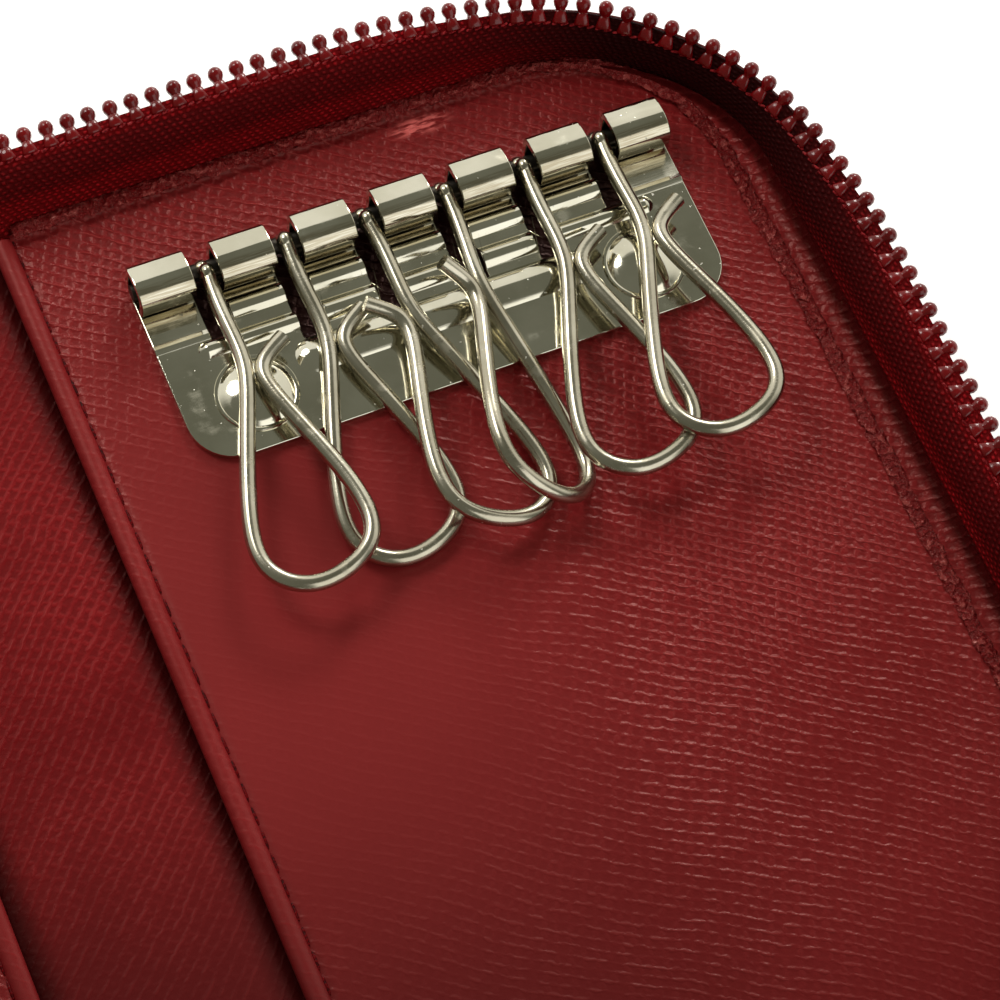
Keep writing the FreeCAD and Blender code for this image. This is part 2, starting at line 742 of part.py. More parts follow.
# Key plate and hooks
def curl_profile(sketch):
    """Section of a knuckle: the sheet curled up and over from the plate's upper edge."""
    radius, thick, end = value("curl_radius"), value("plate_thickness"), value("curl_end_angle")
    centre = (0, radius)
    direction = (math.cos(math.radians(end)), math.sin(math.radians(end)))

    def on_circle(size):
        return size * direction[0], radius + size * direction[1]

    strokes = (
        arc(centre, radius, -90, end),
        line(on_circle(radius), on_circle(radius - thick)),
        arc(centre, radius - thick, end, -90),
        line((0, thick), (0, 0)),
    )
    outer, lip, inner, foot = draw(sketch, strokes)
    sketch.addConstraint(Sketcher.Constraint("Coincident", outer, 3, inner, 3))
    sketch.addConstraint(Sketcher.Constraint("PointOnObject", outer, 3, lip))
    sketch.addConstraint(Sketcher.Constraint("Coincident", outer, 1, *ORIGIN))
    put_on_axis(sketch, outer, 3)
    sketch.addConstraint(Sketcher.Constraint("Vertical", foot))
    datum(sketch, "Radius", (outer,), "curl_radius")
    datum(sketch, "Radius", (inner,), "curl_radius - plate_thickness")
    datum(sketch, "Angle", (lip,), "curl_end_angle - 180")


def make_plate():
    """Stamped plate with curled knuckles, slots for the hooks, ribs and fixing holes."""
    body = new_body("key_plate")
    outline = new_sketch(body, "XY_Plane")
    rectangle(outline, "0", "plate_length", "-1 * plate_depth", "0", "plate_corner_radius", rounded=(0, 1))
    pad(body, outline, "plate_thickness")

    def add_slots(first, depth, span, count):
        start = f"{first} * hook_pitch"
        slot = new_sketch(body, "XY_Plane")
        rectangle(slot, f"{start} + knuckle_width", f"{start} + hook_pitch", f"-1 * {depth}", "0",
                  "slot_corner_radius", rounded=(0, 1))
        repeat(body, cut(body, slot), slot, "H_Axis", f"{span} * hook_pitch", count)

    add_slots(0, "outer_slot_depth", HOOK_COUNT - 1, 2)
    add_slots(1, "inner_slot_depth", HOOK_COUNT - 3, HOOK_COUNT - 2)
    curl = new_sketch(body, "YZ_Plane")
    curl_profile(curl)
    knuckle = pad(body, curl, "knuckle_width")
    repeat(body, knuckle, outline, "H_Axis", f"{KNUCKLE_COUNT - 1} * hook_pitch", KNUCKLE_COUNT)

    def add_ribs(first, lower, upper, count):
        start = f"{first} * hook_pitch"
        rib = new_sketch(body, "XY_Plane", "plate_thickness")
        rectangle(rib, f"{start} + rib_margin", f"{start} + knuckle_width - rib_margin",
                  f"-1 * {lower}", f"-1 * {upper}")
        repeat(body, pad(body, rib, "rib_height"), rib, "H_Axis", f"{count - 1} * hook_pitch", count)

    add_ribs(1, "rib_lower", "rib_upper", KNUCKLE_COUNT - 2)
    add_ribs(2, "far_rib_lower", "far_rib_upper", KNUCKLE_COUNT - 4)
    holes = new_sketch(body, "XY_Plane")
    for inset, drop, radius in (("rivet_inset", "rivet_drop", "rivet_shank_radius + rivet_fit"),
                                ("dimple_outer_inset", "dimple_outer_drop", "dimple_radius"),
                                ("dimple_inner_inset", "dimple_inner_drop", "dimple_radius")):
        for x in (inset, f"plate_length - {inset}"):
            circle(holes, x, f"-1 * {drop}", radius)
    cut(body, holes)
    place_on_half(body, "right", "plate_x", "rod_y", "lining_top")


def make_rod():
    """Hinge rod lying in the knuckles."""
    rod = keep(doc.addObject("Part::Cylinder", "hinge_rod"), "hinge_rod")
    tie(rod, {"Radius": "rod_radius", "Height": "plate_length"})
    place(rod, "fold_x + plate_x", "rod_y", "lining_top + rod_height")
    rod.Placement.Rotation = FreeCAD.Rotation(FreeCAD.Vector(0, 1, 0), 90)


def make_rivets():
    """Two rivets that hold the plate to the lining and its board, as a group."""
    body = new_body("plate_rivets")
    sketch = new_sketch(body, "XZ_Plane")
    back = "-1 * (lining_thickness + tape_thickness)"
    cap = "plate_thickness + rivet_flange"
    points = (
        ("0", back),
        ("rivet_back_radius", back),
        ("rivet_back_radius", "-1 * lining_thickness"),
        ("rivet_shank_radius", "-1 * lining_thickness"),
        ("rivet_shank_radius", "plate_thickness"),
        ("rivet_flange_radius", "plate_thickness"),
        ("rivet_flange_radius", cap),
        ("rivet_dome_radius", cap),
        ("0", f"{cap} + rivet_dome_height"),
    )
    spots = [(value(x), value(y)) for x, y in points]
    strokes = [line(here, after) for here, after in zip(spots[:-2], spots[1:-1])]
    chord, height = value("rivet_dome_radius"), value("rivet_dome_height")
    dome = (chord ** 2 + height ** 2) / (2 * height)
    rim = math.degrees(math.asin((dome - height) / dome))
    strokes.append(arc((0, spots[-1][1] - dome), dome, rim, 90))
    strokes.append(line(spots[-1], spots[0]))
    numbers = draw(sketch, strokes)
    for number, (x, y) in zip(numbers[:-2], points):
        pin_point(sketch, number, 1, x, y)
    datum(sketch, "DistanceY", (*ORIGIN, numbers[-2], 1), cap)
    datum(sketch, "DistanceX", (*ORIGIN, numbers[-2], 1), "rivet_dome_radius")
    pin_point(sketch, numbers[-1], 1, *points[-1])
    put_on_axis(sketch, numbers[-2], 3)
    doc.recompute()
    turned = body.newObject("PartDesign::Revolution", "Revolution")
    turned.Profile = sketch
    turned.ReferenceAxis = (sketch, ["V_Axis"])
    body.Tip = turned
    doc.recompute()
    repeat(body, turned, sketch, "H_Axis", "plate_length - 2 * rivet_inset", 2)
    place_on_half(body, "right", "plate_x + rivet_inset", "rod_y - rivet_drop", "lining_top")


def hook_path(sketch, side):
    """Wire line of a hook: shank, long leg, lobe, free leg and tip; side is -1 with the long leg at low X."""
    lobe = value("lobe_radius")
    centre = FreeCAD.Vector(0, lobe - value("hook_length"), 0)
    shank, bend = value("hook_shank"), value("hook_bend_radius")

    def spot(vector):
        return vector.x, vector.y

    # The bend's centre lies on the long leg's side, so the leg is an inner tangent of bend and lobe.
    bend_centre = FreeCAD.Vector(side * bend, -shank, 0)
    offset = centre - bend_centre
    lean = math.asin((lobe - bend) / offset.Length) - math.atan2(side * offset.x, -offset.y)
    across = FreeCAD.Vector(side * math.cos(lean), math.sin(lean), 0)
    leg_start, leg_end = bend_centre - across * bend, centre + across * lobe

    tip_angle = math.radians(value("tip_angle"))
    throat = FreeCAD.Vector(-side * value("throat_side"), -value("throat_drop"), 0)
    tip = throat + FreeCAD.Vector(-side * math.sin(tip_angle), math.cos(tip_angle), 0) * value("tip_length")
    turn = value("throat_bend_radius")
    outward = FreeCAD.Vector(-side * math.cos(tip_angle), -math.sin(tip_angle), 0)
    turn_centre = throat + outward * turn
    reach = centre - turn_centre
    slope = math.atan2(-side * reach.x, -reach.y) + math.asin((lobe - turn) / reach.Length)
    inward = FreeCAD.Vector(-side * math.cos(slope), math.sin(slope), 0)
    free_start, free_end = centre + inward * lobe, turn_centre - inward * turn

    def angle_of(vector):
        return math.degrees(math.atan2(vector.y, vector.x))

    def sweep_arc(middle, radius, start, end, anticlockwise):
        first, last = angle_of(start - middle), angle_of(end - middle)
        if anticlockwise:
            last += 360 if last < first else 0
        else:
            last -= 360 if last > first else 0
        return arc(spot(middle), radius, first, last)

    shank_end = FreeCAD.Vector(0, -shank, 0)
    strokes = (
        smooth(line((0, 0), spot(shank_end))),
        smooth(sweep_arc(bend_centre, bend, shank_end, leg_start, side > 0)),
        smooth(line(spot(leg_start), spot(leg_end))),
        smooth(sweep_arc(centre, lobe, leg_end, free_start, side < 0)),
        smooth(line(spot(free_start), spot(free_end))),
        smooth(sweep_arc(turn_centre, turn, free_end, throat, side > 0)),
        line(spot(throat), spot(tip)),
    )
    stem, bend_arc, _, lobe_arc, _, turn_arc, point = draw(sketch, strokes, closed=False)
    sketch.addConstraint(Sketcher.Constraint("Coincident", stem, 1, *ORIGIN))
    sketch.addConstraint(Sketcher.Constraint("Vertical", stem))
    put_on_axis(sketch, lobe_arc, 3)
    datum(sketch, "DistanceY", (*ORIGIN, stem, 2), "-1 * hook_shank")
    datum(sketch, "Radius", (bend_arc,), "hook_bend_radius")
    datum(sketch, "Radius", (lobe_arc,), "lobe_radius")
    datum(sketch, "DistanceY", (*ORIGIN, lobe_arc, 3), "lobe_radius - hook_length")
    datum(sketch, "Radius", (turn_arc,), "throat_bend_radius")
    pin_point(sketch, point, 1, f"{-side} * throat_side", "-1 * throat_drop")
    datum(sketch, "Angle", (point,), f"90 + {side} * tip_angle")
    datum(sketch, "Distance", (point,), "tip_length")


def make_hook(number):
    """Spring wire hook with its eye on the rod; a turned hook has its long leg at high X."""
    body = new_body(f"key_hook_{number}")
    eye = new_sketch(body, "YZ_Plane")
    circle(eye, "0", "0", "eye_radius")
    pad(body, eye, "eye_width", symmetric=True)
    wire = new_sketch(body, "XZ_Plane")
    circle(wire, "0", "wire_rise", "wire_radius")
    path = new_sketch(body, "XY_Plane", "wire_rise")
    hook_path(path, 1 if number in TURNED_HOOKS else -1)
    sweep(body, wire, path)
    bore = new_sketch(body, "YZ_Plane")
    circle(bore, "0", "0", "rod_radius + eye_clearance")
    cut(body, bore, symmetric=True)
    middle = f"(hook_pitch + knuckle_width) / 2 + {number - 1} * hook_pitch"
    place_on_half(body, "right", f"plate_x + {middle}", "rod_y", "lining_top + rod_height")


def check_shapes():
    """Stop on any object in error and on any empty or faulty shape."""
    for item in doc.Objects:
        if "Invalid" in item.State or "Error" in item.State:
            raise RuntimeError(f"{item.Label}: {item.State}")
    for item in parts:
        if item.Shape.isNull() or not item.Shape.isValid() or not item.Shape.Solids:
            raise RuntimeError(f"{item.Label}: no valid solid")


def export():
    """Write one file for each sub-part."""
    os.makedirs("parts", exist_ok=True)
    for item in parts:
        item.Shape.exportStep(os.path.join("parts", f"{item.Label}.step"))
        extent = item.Shape.BoundBox
        print(f"{item.Label}: {len(item.Shape.Solids)} solids, {item.Shape.Volume:.1f} mm3,"
              f" x {extent.XMin:.2f} to {extent.XMax:.2f}, y {extent.YMin:.2f} to {extent.YMax:.2f},"
              f" z {extent.ZMin:.2f} to {extent.ZMax:.2f}")


make_spine()
for half_name in HALVES:
    make_cover(half_name)
    make_board(half_name)
    make_lining(half_name)
    make_tape(half_name)
    make_teeth(half_name)
    make_top_stop(half_name)
make_tail_tape()
make_tail_teeth()
make_bottom_stop()
make_end_tab()
make_slider()
make_pull()
make_plate()
make_rod()
make_rivets()
for hook_number in range(1, HOOK_COUNT + 1):
    make_hook(hook_number)
doc.recompute()
check_shapes()
export()
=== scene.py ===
"""Open zip-around key case: leather shell, zip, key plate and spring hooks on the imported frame."""
import logging
import math
from dataclasses import dataclass
from enum import Enum
from functools import cache, cached_property
from typing import Callable, Sequence

import bmesh
import bpy
from mathutils import Matrix, Vector, noise


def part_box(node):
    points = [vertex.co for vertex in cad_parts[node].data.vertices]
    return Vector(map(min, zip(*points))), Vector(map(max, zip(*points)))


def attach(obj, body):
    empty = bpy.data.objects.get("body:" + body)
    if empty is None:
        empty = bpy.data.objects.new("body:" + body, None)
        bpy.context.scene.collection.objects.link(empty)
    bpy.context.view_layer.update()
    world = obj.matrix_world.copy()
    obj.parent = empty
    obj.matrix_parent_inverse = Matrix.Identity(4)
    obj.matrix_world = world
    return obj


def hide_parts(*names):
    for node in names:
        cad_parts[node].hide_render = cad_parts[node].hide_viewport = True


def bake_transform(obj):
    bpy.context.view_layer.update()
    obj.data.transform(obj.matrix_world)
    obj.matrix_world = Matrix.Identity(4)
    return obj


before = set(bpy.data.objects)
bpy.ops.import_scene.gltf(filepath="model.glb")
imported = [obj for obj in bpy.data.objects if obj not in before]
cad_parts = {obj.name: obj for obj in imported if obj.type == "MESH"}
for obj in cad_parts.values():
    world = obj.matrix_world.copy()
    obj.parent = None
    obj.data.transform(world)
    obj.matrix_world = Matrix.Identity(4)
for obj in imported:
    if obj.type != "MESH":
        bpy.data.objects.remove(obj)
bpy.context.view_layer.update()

LOG = logging.getLogger("key_case")
Point = tuple[float, float, float]
Spot = tuple[float, float]
Colour = tuple[float, float, float, float]
Face = tuple[int, ...]

# Short names of Blender's types
Piece = bpy.types.Object
Socket = bpy.types.NodeSocket
Node = bpy.types.Node
Tree = bpy.types.NodeTree
Surface = tuple[Socket, Socket, Socket]

# One millimetre, and the distance under which two corners are one, in metres
MM = 0.001
SAME_CORNER = 1e-7

# Shared levels of the case, in millimetres
COVER_TOP = 1.2
LINING_TOP = 3.0

# Turn that stands a stamped outline on edge: its x lies along Y, its y points up, its thickness lies along X
UPRIGHT = Matrix(((0, 0, 1, 0), (1, 0, 0, 0), (0, 1, 0, 0), (0, 0, 0, 1)))


class Half(Enum):
    """The two folding halves; the left one is the right one turned round the vertical."""

    RIGHT = "right"
    LEFT = "left"

    @property
    def body(self) -> str:
        """Name of the body that carries this half."""
        return f"{self.value}_half"

    @property
    def sign(self) -> float:
        """Plus one on the right, minus one on the left."""
        return 1.0 if self is Half.RIGHT else -1.0

    def place(self, point: Sequence[float]) -> Point:
        """Turn a point of the right half onto this half."""
        return self.sign * point[0], self.sign * point[1], point[2]


def srgb(red: int, green: int, blue: int) -> Colour:
    """Linear colour with full alpha from display values of 0 to 255."""
    return (*(((value / 255) ** 2.2) for value in (red, green, blue)), 1.0)


# Mesh helpers
def new_object(name: str, data: bpy.types.ID) -> Piece:
    """Link a new object that holds the data.

    Args:
        name: name of the object.
        data: its mesh, curve, lamp or camera.

    Returns:
        The new object.
    """
    made = bpy.data.objects.new(name, data)
    bpy.context.scene.collection.objects.link(made)
    return made


def mesh_object(name: str, points: Sequence[Sequence[float]], faces: Sequence[Sequence[int]],
                uvs: Sequence[Spot] | None = None) -> Piece:
    """Make a smooth mesh object from points in millimetres.

    Args:
        name: name of the object.
        points: corner points in millimetres.
        faces: corner numbers of each face.
        uvs: optional map position of each corner.

    Returns:
        The new object, at the origin, in metres.
    """
    mesh = bpy.data.meshes.new(name)
    mesh.from_pydata([Vector(point) * MM for point in points], [], faces)
    if uvs is not None:
        layer = mesh.uv_layers.new(name="UVMap")
        for loop in mesh.loops:
            layer.data[loop.index].uv = uvs[loop.vertex_index]
    mesh.polygons.foreach_set("use_smooth", [True] * len(mesh.polygons))
    mesh.update()
    return new_object(name, mesh)


def grid(rows: int, count: int, ring: bool = False, loop: bool = False) -> list[Face]:
    """Faces between neighbouring rows of points.

    Args:
        rows: number of rows.
        count: number of points in each row.
        ring: whether each row closes on itself.
        loop: whether the last row leads back to the first.

    Returns:
        Corner numbers of each face.
    """
    faces: list[Face] = []
    for row in range(rows if loop else rows - 1):
        here, there = row * count, (row + 1) % rows * count
        for index in range(count if ring else count - 1):
            after = (index + 1) % count
            faces.append((here + index, here + after, there + after, there + index))
    return faces


def caps(rows: int, count: int) -> list[Face]:
    """Faces that close the first and the last ring of a grid."""
    return [tuple(range(count)), tuple((rows - 1) * count + index for index in reversed(range(count)))]


def node_box(node: str) -> tuple[Vector, Vector]:
    """Lowest and highest corner of a solid at rest, in millimetres."""
    low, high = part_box(node)
    return Vector(low) / MM, Vector(high) / MM


def settle(piece: Piece) -> Piece:
    """Replace a curve or an object with modifiers by its plain mesh at the origin.

    Args:
        piece: object to evaluate; it is removed.

    Returns:
        New mesh object under the same name.
    """
    name = piece.name
    bpy.context.view_layer.update()
    graph = bpy.context.evaluated_depsgraph_get()
    mesh = bpy.data.meshes.new_from_object(piece.evaluated_get(graph), preserve_all_data_layers=True,
                                           depsgraph=graph)
    mesh.transform(piece.matrix_world)
    bpy.data.objects.remove(piece)
    mesh.name = name
    return new_object(name, mesh)


def face_outward(piece: Piece, sharp_degrees: float = 38.0) -> Piece:
    """Merge doubles, turn the faces of closed shells outward and mark their sharp edges.

    Args:
        piece: mesh object to mend.
        sharp_degrees: least angle of a sharp edge.

    Returns:
        The same object.
    """
    work = bmesh.new()
    work.from_mesh(piece.data)
    bmesh.ops.remove_doubles(work, verts=work.verts, dist=SAME_CORNER)
    bmesh.ops.recalc_face_normals(work, faces=work.faces)
    for face in work.faces:
        face.smooth = True
    work.to_mesh(piece.data)
    work.free()
    piece.data.set_sharp_from_angle(angle=math.radians(sharp_degrees))
    return piece


def face_up(piece: Piece) -> Piece:
    """Turn an open sheet so that most of it faces up.

    Args:
        piece: the sheet.

    Returns:
        The same object.
    """
    work = bmesh.new()
    work.from_mesh(piece.data)
    bmesh.ops.recalc_face_normals(work, faces=work.faces)
    if sum(face.normal.z * face.calc_area() for face in work.faces) < 0:
        bmesh.ops.reverse_faces(work, faces=work.faces)
    work.to_mesh(piece.data)
    work.free()
    return piece


def thicken(piece: Piece, thickness: float) -> Piece:
    """Give a sheet its thickness in millimetres, on the side away from its faces.

    Args:
        piece: open sheet; it is removed.
        thickness: thickness of the sheet.

    Returns:
        The sheet as a closed mesh object.
    """
    wall = piece.modifiers.new("thickness", "SOLIDIFY")
    wall.thickness = thickness * MM
    wall.offset = -1.0
    wall.use_rim = True
    return settle(piece)


def soften(piece: Piece, width: float, sharp_degrees: float = 35.0) -> Piece:
    """Cut the sharp edges of a piece back by a width in millimetres.

    Args:
        piece: closed mesh object; it is removed.
        width: width of the cut.
        sharp_degrees: least angle of an edge that is cut.

    Returns:
        The piece with softened edges.
    """
    bevel = piece.modifiers.new("rounding", "BEVEL")
    bevel.width = width * MM
    bevel.segments = 1
    bevel.limit_method = "ANGLE"
    bevel.angle_limit = math.radians(sharp_degrees)
    return settle(piece)


def join(name: str, pieces: Sequence[Piece]) -> Piece:
    """Put several mesh objects into one.

    Args:
        name: name of the joined object.
        pieces: objects to take; they are removed.

    Returns:
        The joined object.
    """
    work = bmesh.new()
    for piece in pieces:
        work.from_mesh(piece.data)
    mesh = bpy.data.meshes.new(name)
    work.to_mesh(mesh)
    work.free()
    for piece in pieces:
        bpy.data.objects.remove(piece)
    return new_object(name, mesh)


def rounded_outline(corners: Sequence[tuple[float, float, float]], steps: int = 8) -> list[Spot]:
    """Closed outline with rounded corners.

    Args:
        corners: x, y and rounding radius of each corner, in order.
        steps: points along each rounding.

    Returns:
        Points of the outline.
    """
    outline: list[Spot] = []
    for index, (x, y, radius) in enumerate(corners):
        here = Vector((x, y))
        if radius <= 0:
            outline.append((x, y))
            continue
        before = (Vector(corners[index - 1][:2]) - here).normalized()
        after = (Vector(corners[(index + 1) % len(corners)][:2]) - here).normalized()
        half_angle = before.angle(after) / 2
        centre = here + (before + after).normalized() * (radius / math.sin(half_angle))
        start = here + before * (radius / math.tan(half_angle)) - centre
        end = here + after * (radius / math.tan(half_angle)) - centre
        sweep = start.angle_signed(end)
        for step in range(steps + 1):
            turn = Matrix.Rotation(-sweep * step / steps, 2)
            outline.append(tuple(centre + turn @ start))
    return outline


def ring(x: float, y: float, radius: float, count: int = 24) -> list[Spot]:
    """Round outline about a centre."""
    angles = [math.tau * step / count for step in range(count)]
    return [(x + radius * math.cos(angle), y + radius * math.sin(angle)) for angle in angles]


def arc(first: float, last: float, steps: int) -> list[float]:
    """Angles in radians from one direction in degrees to another, in even steps."""
    return [math.radians(first + (last - first) * step / steps) for step in range(steps + 1)]


def box_outline(low: Sequence[float], high: Sequence[float], lower: float, upper: float,
                steps: int = 4) -> list[Spot]:
    """Outline of a box with one rounding at its two lower corners and one at its two upper ones."""
    return rounded_outline(((low[0], low[1], lower), (high[0], low[1], lower),
                            (high[0], high[1], upper), (low[0], high[1], upper)), steps)


def mirrored(right: Sequence[Point]) -> list[Point]:
    """Corners of an outline that is even about the middle, from those of its right side, lowest first."""
    left = [(-x, y, radius) for x, y, radius in right]
    return left[:1] + list(right) + left[:0:-1]


def stamped(name: str, outlines: Sequence[Sequence[Spot]], low: float, high: float,
            rounding: float, stand: Matrix | None = None) -> Piece:
    """Cut a plate from outlines, with holes and rounded edges.

    Args:
        name: name of the plate.
        outlines: outer outline first, then holes, in millimetres.
        low: level of its lower face.
        high: level of its upper face.
        rounding: edge rounding.
        stand: turn applied to the plate before it is used, or none to leave it lying flat.

    Returns:
        The plate as a closed mesh object.
    """
    curve = bpy.data.curves.new(name, "CURVE")
    curve.dimensions = "2D"
    curve.fill_mode = "BOTH"
    curve.extrude = ((high - low) / 2 - rounding) * MM
    curve.bevel_depth = rounding * MM
    curve.bevel_resolution = 2
    curve.offset = -rounding * MM
    for outline in outlines:
        spline = curve.splines.new("POLY")
        spline.points.add(len(outline) - 1)
        for point, (x, y) in zip(spline.points, outline):
            point.co = (x * MM, y * MM, 0, 1)
        spline.use_cyclic_u = True
    plate = settle(new_object(name, curve))
    plate.data.transform(Matrix.Translation((0, 0, (low + high) / 2 * MM)))
    if stand is not None:
        plate.data.transform(stand)
    return face_outward(plate)


def lathe(name: str, profile: Sequence[Spot], segments: int, centre: Sequence[float] = (0, 0, 0),
          along_x: bool = False) -> Piece:
    """Turn a profile about an upright axis, or about one along X.

    Args:
        name: name of the turned piece.
        profile: radius and height of each point in millimetres.
        segments: steps round the axis.
        centre: point that the axis goes through.
        along_x: whether the axis lies along X.

    Returns:
        The turned piece.
    """
    points: list[Point] = []
    for step in range(segments):
        angle = math.tau * step / segments
        for radius, height in profile:
            across, along = radius * math.cos(angle), radius * math.sin(angle)
            spot = (height, across, along) if along_x else (across, along, height)
            points.append(tuple(c + s for c, s in zip(centre, spot)))
    return face_outward(mesh_object(name, points, grid(segments, len(profile), loop=True)))


def tube(name: str, controls: Sequence[Sequence[float]], radius: float) -> Piece:
    """Wire that follows a smooth line through control points in millimetres.

    Args:
        name: name of the wire.
        controls: control points of the line.
        radius: radius of the wire.

    Returns:
        The wire as a closed mesh object.
    """
    curve = bpy.data.curves.new(name, "CURVE")
    curve.dimensions = "3D"
    curve.bevel_depth = radius * MM
    curve.bevel_resolution = 5
    curve.use_fill_caps = True
    spline = curve.splines.new("NURBS")
    spline.points.add(len(controls) - 1)
    for point, spot in zip(spline.points, controls):
        point.co = (*(Vector(spot) * MM), 1)
    spline.order_u = 4
    spline.use_endpoint_u = True
    spline.resolution_u = 10
    return face_outward(settle(new_object(name, curve)), 60.0)


# Node writing
class NodeWriter:
    """Adds nodes to one tree and links them."""

    # Numbers of the mix node's colour sockets
    FIRST, SECOND, MIXED = 6, 7, 2

    def __init__(self, tree: Tree) -> None:
        """Keep the tree that the nodes go into."""
        self.tree = tree

    def add(self, kind: str, inputs: dict | None = None, **attributes: object) -> Node:
        """Add a node.

        Args:
            kind: Blender's name of the node type.
            inputs: value or source socket for each input, by name or number.
            attributes: settings of the node.

        Returns:
            The new node.
        """
        made = self.tree.nodes.new(kind)
        for name, value in attributes.items():
            setattr(made, name, value)
        for key, value in (inputs or {}).items():
            if isinstance(value, Socket):
                self.tree.links.new(value, made.inputs[key])
            else:
                made.inputs[key].default_value = value
        return made

    def math(self, operation: str, *values: object) -> Socket:
        """Result of a sum on values or sockets."""
        return self.add("ShaderNodeMath", dict(enumerate(values)), operation=operation).outputs[0]

    def times(self, first: object, *others: object) -> Socket:
        """Product of two or more values."""
        for other in others:
            first = self.math("MULTIPLY", first, other)
        return first

    def vector(self, operation: str, *values: object) -> Node:
        """Node with the result of a sum on vectors."""
        return self.add("ShaderNodeVectorMath", dict(enumerate(values)), operation=operation)

    def parts(self, vector: object) -> list[Socket]:
        """The three parts of a vector."""
        return list(self.add("ShaderNodeSeparateXYZ", {0: vector}).outputs)

    def mix(self, factor: object, first: object, second: object) -> Socket:
        """Colour between two colours."""
        inputs = {0: factor, self.FIRST: first, self.SECOND: second}
        return self.add("ShaderNodeMix", inputs, data_type="RGBA").outputs[self.MIXED]

    def span(self, value: object, low: float, high: float, first: float = 0.0,
             last: float = 1.0) -> Socket:
        """Smoothly carry a value from one span to another."""
        limits = {"Value": value, "From Min": low, "From Max": high, "To Min": first, "To Max": last}
        return self.add("ShaderNodeMapRange", limits, interpolation_type="SMOOTHSTEP").outputs[0]

    def noise(self, vector: object, scale: float, detail: float = 2.0) -> Socket:
        """Noise value at a position."""
        found = self.add("ShaderNodeTexNoise", {"Vector": vector, "Scale": scale, "Detail": detail})
        return found.outputs[0]

    def wander(self, vector: object, scale: float, reach: float) -> Socket:
        """Noise about zero, spread over a reach."""
        return self.math("MULTIPLY_ADD", self.noise(vector, scale), reach, -reach / 2)

    @cached_property
    def place(self) -> Socket:
        """Position on the piece in millimetres."""
        local = self.add("ShaderNodeTexCoord").outputs["Object"]
        return self.add("ShaderNodeMapping", {"Vector": local, "Scale": (1 / MM,) * 3}).outputs[0]

    def group(self, tree: Tree, inputs: dict) -> Node:
        """Place a node group with its own values."""
        return self.add("ShaderNodeGroup", inputs, node_tree=tree)


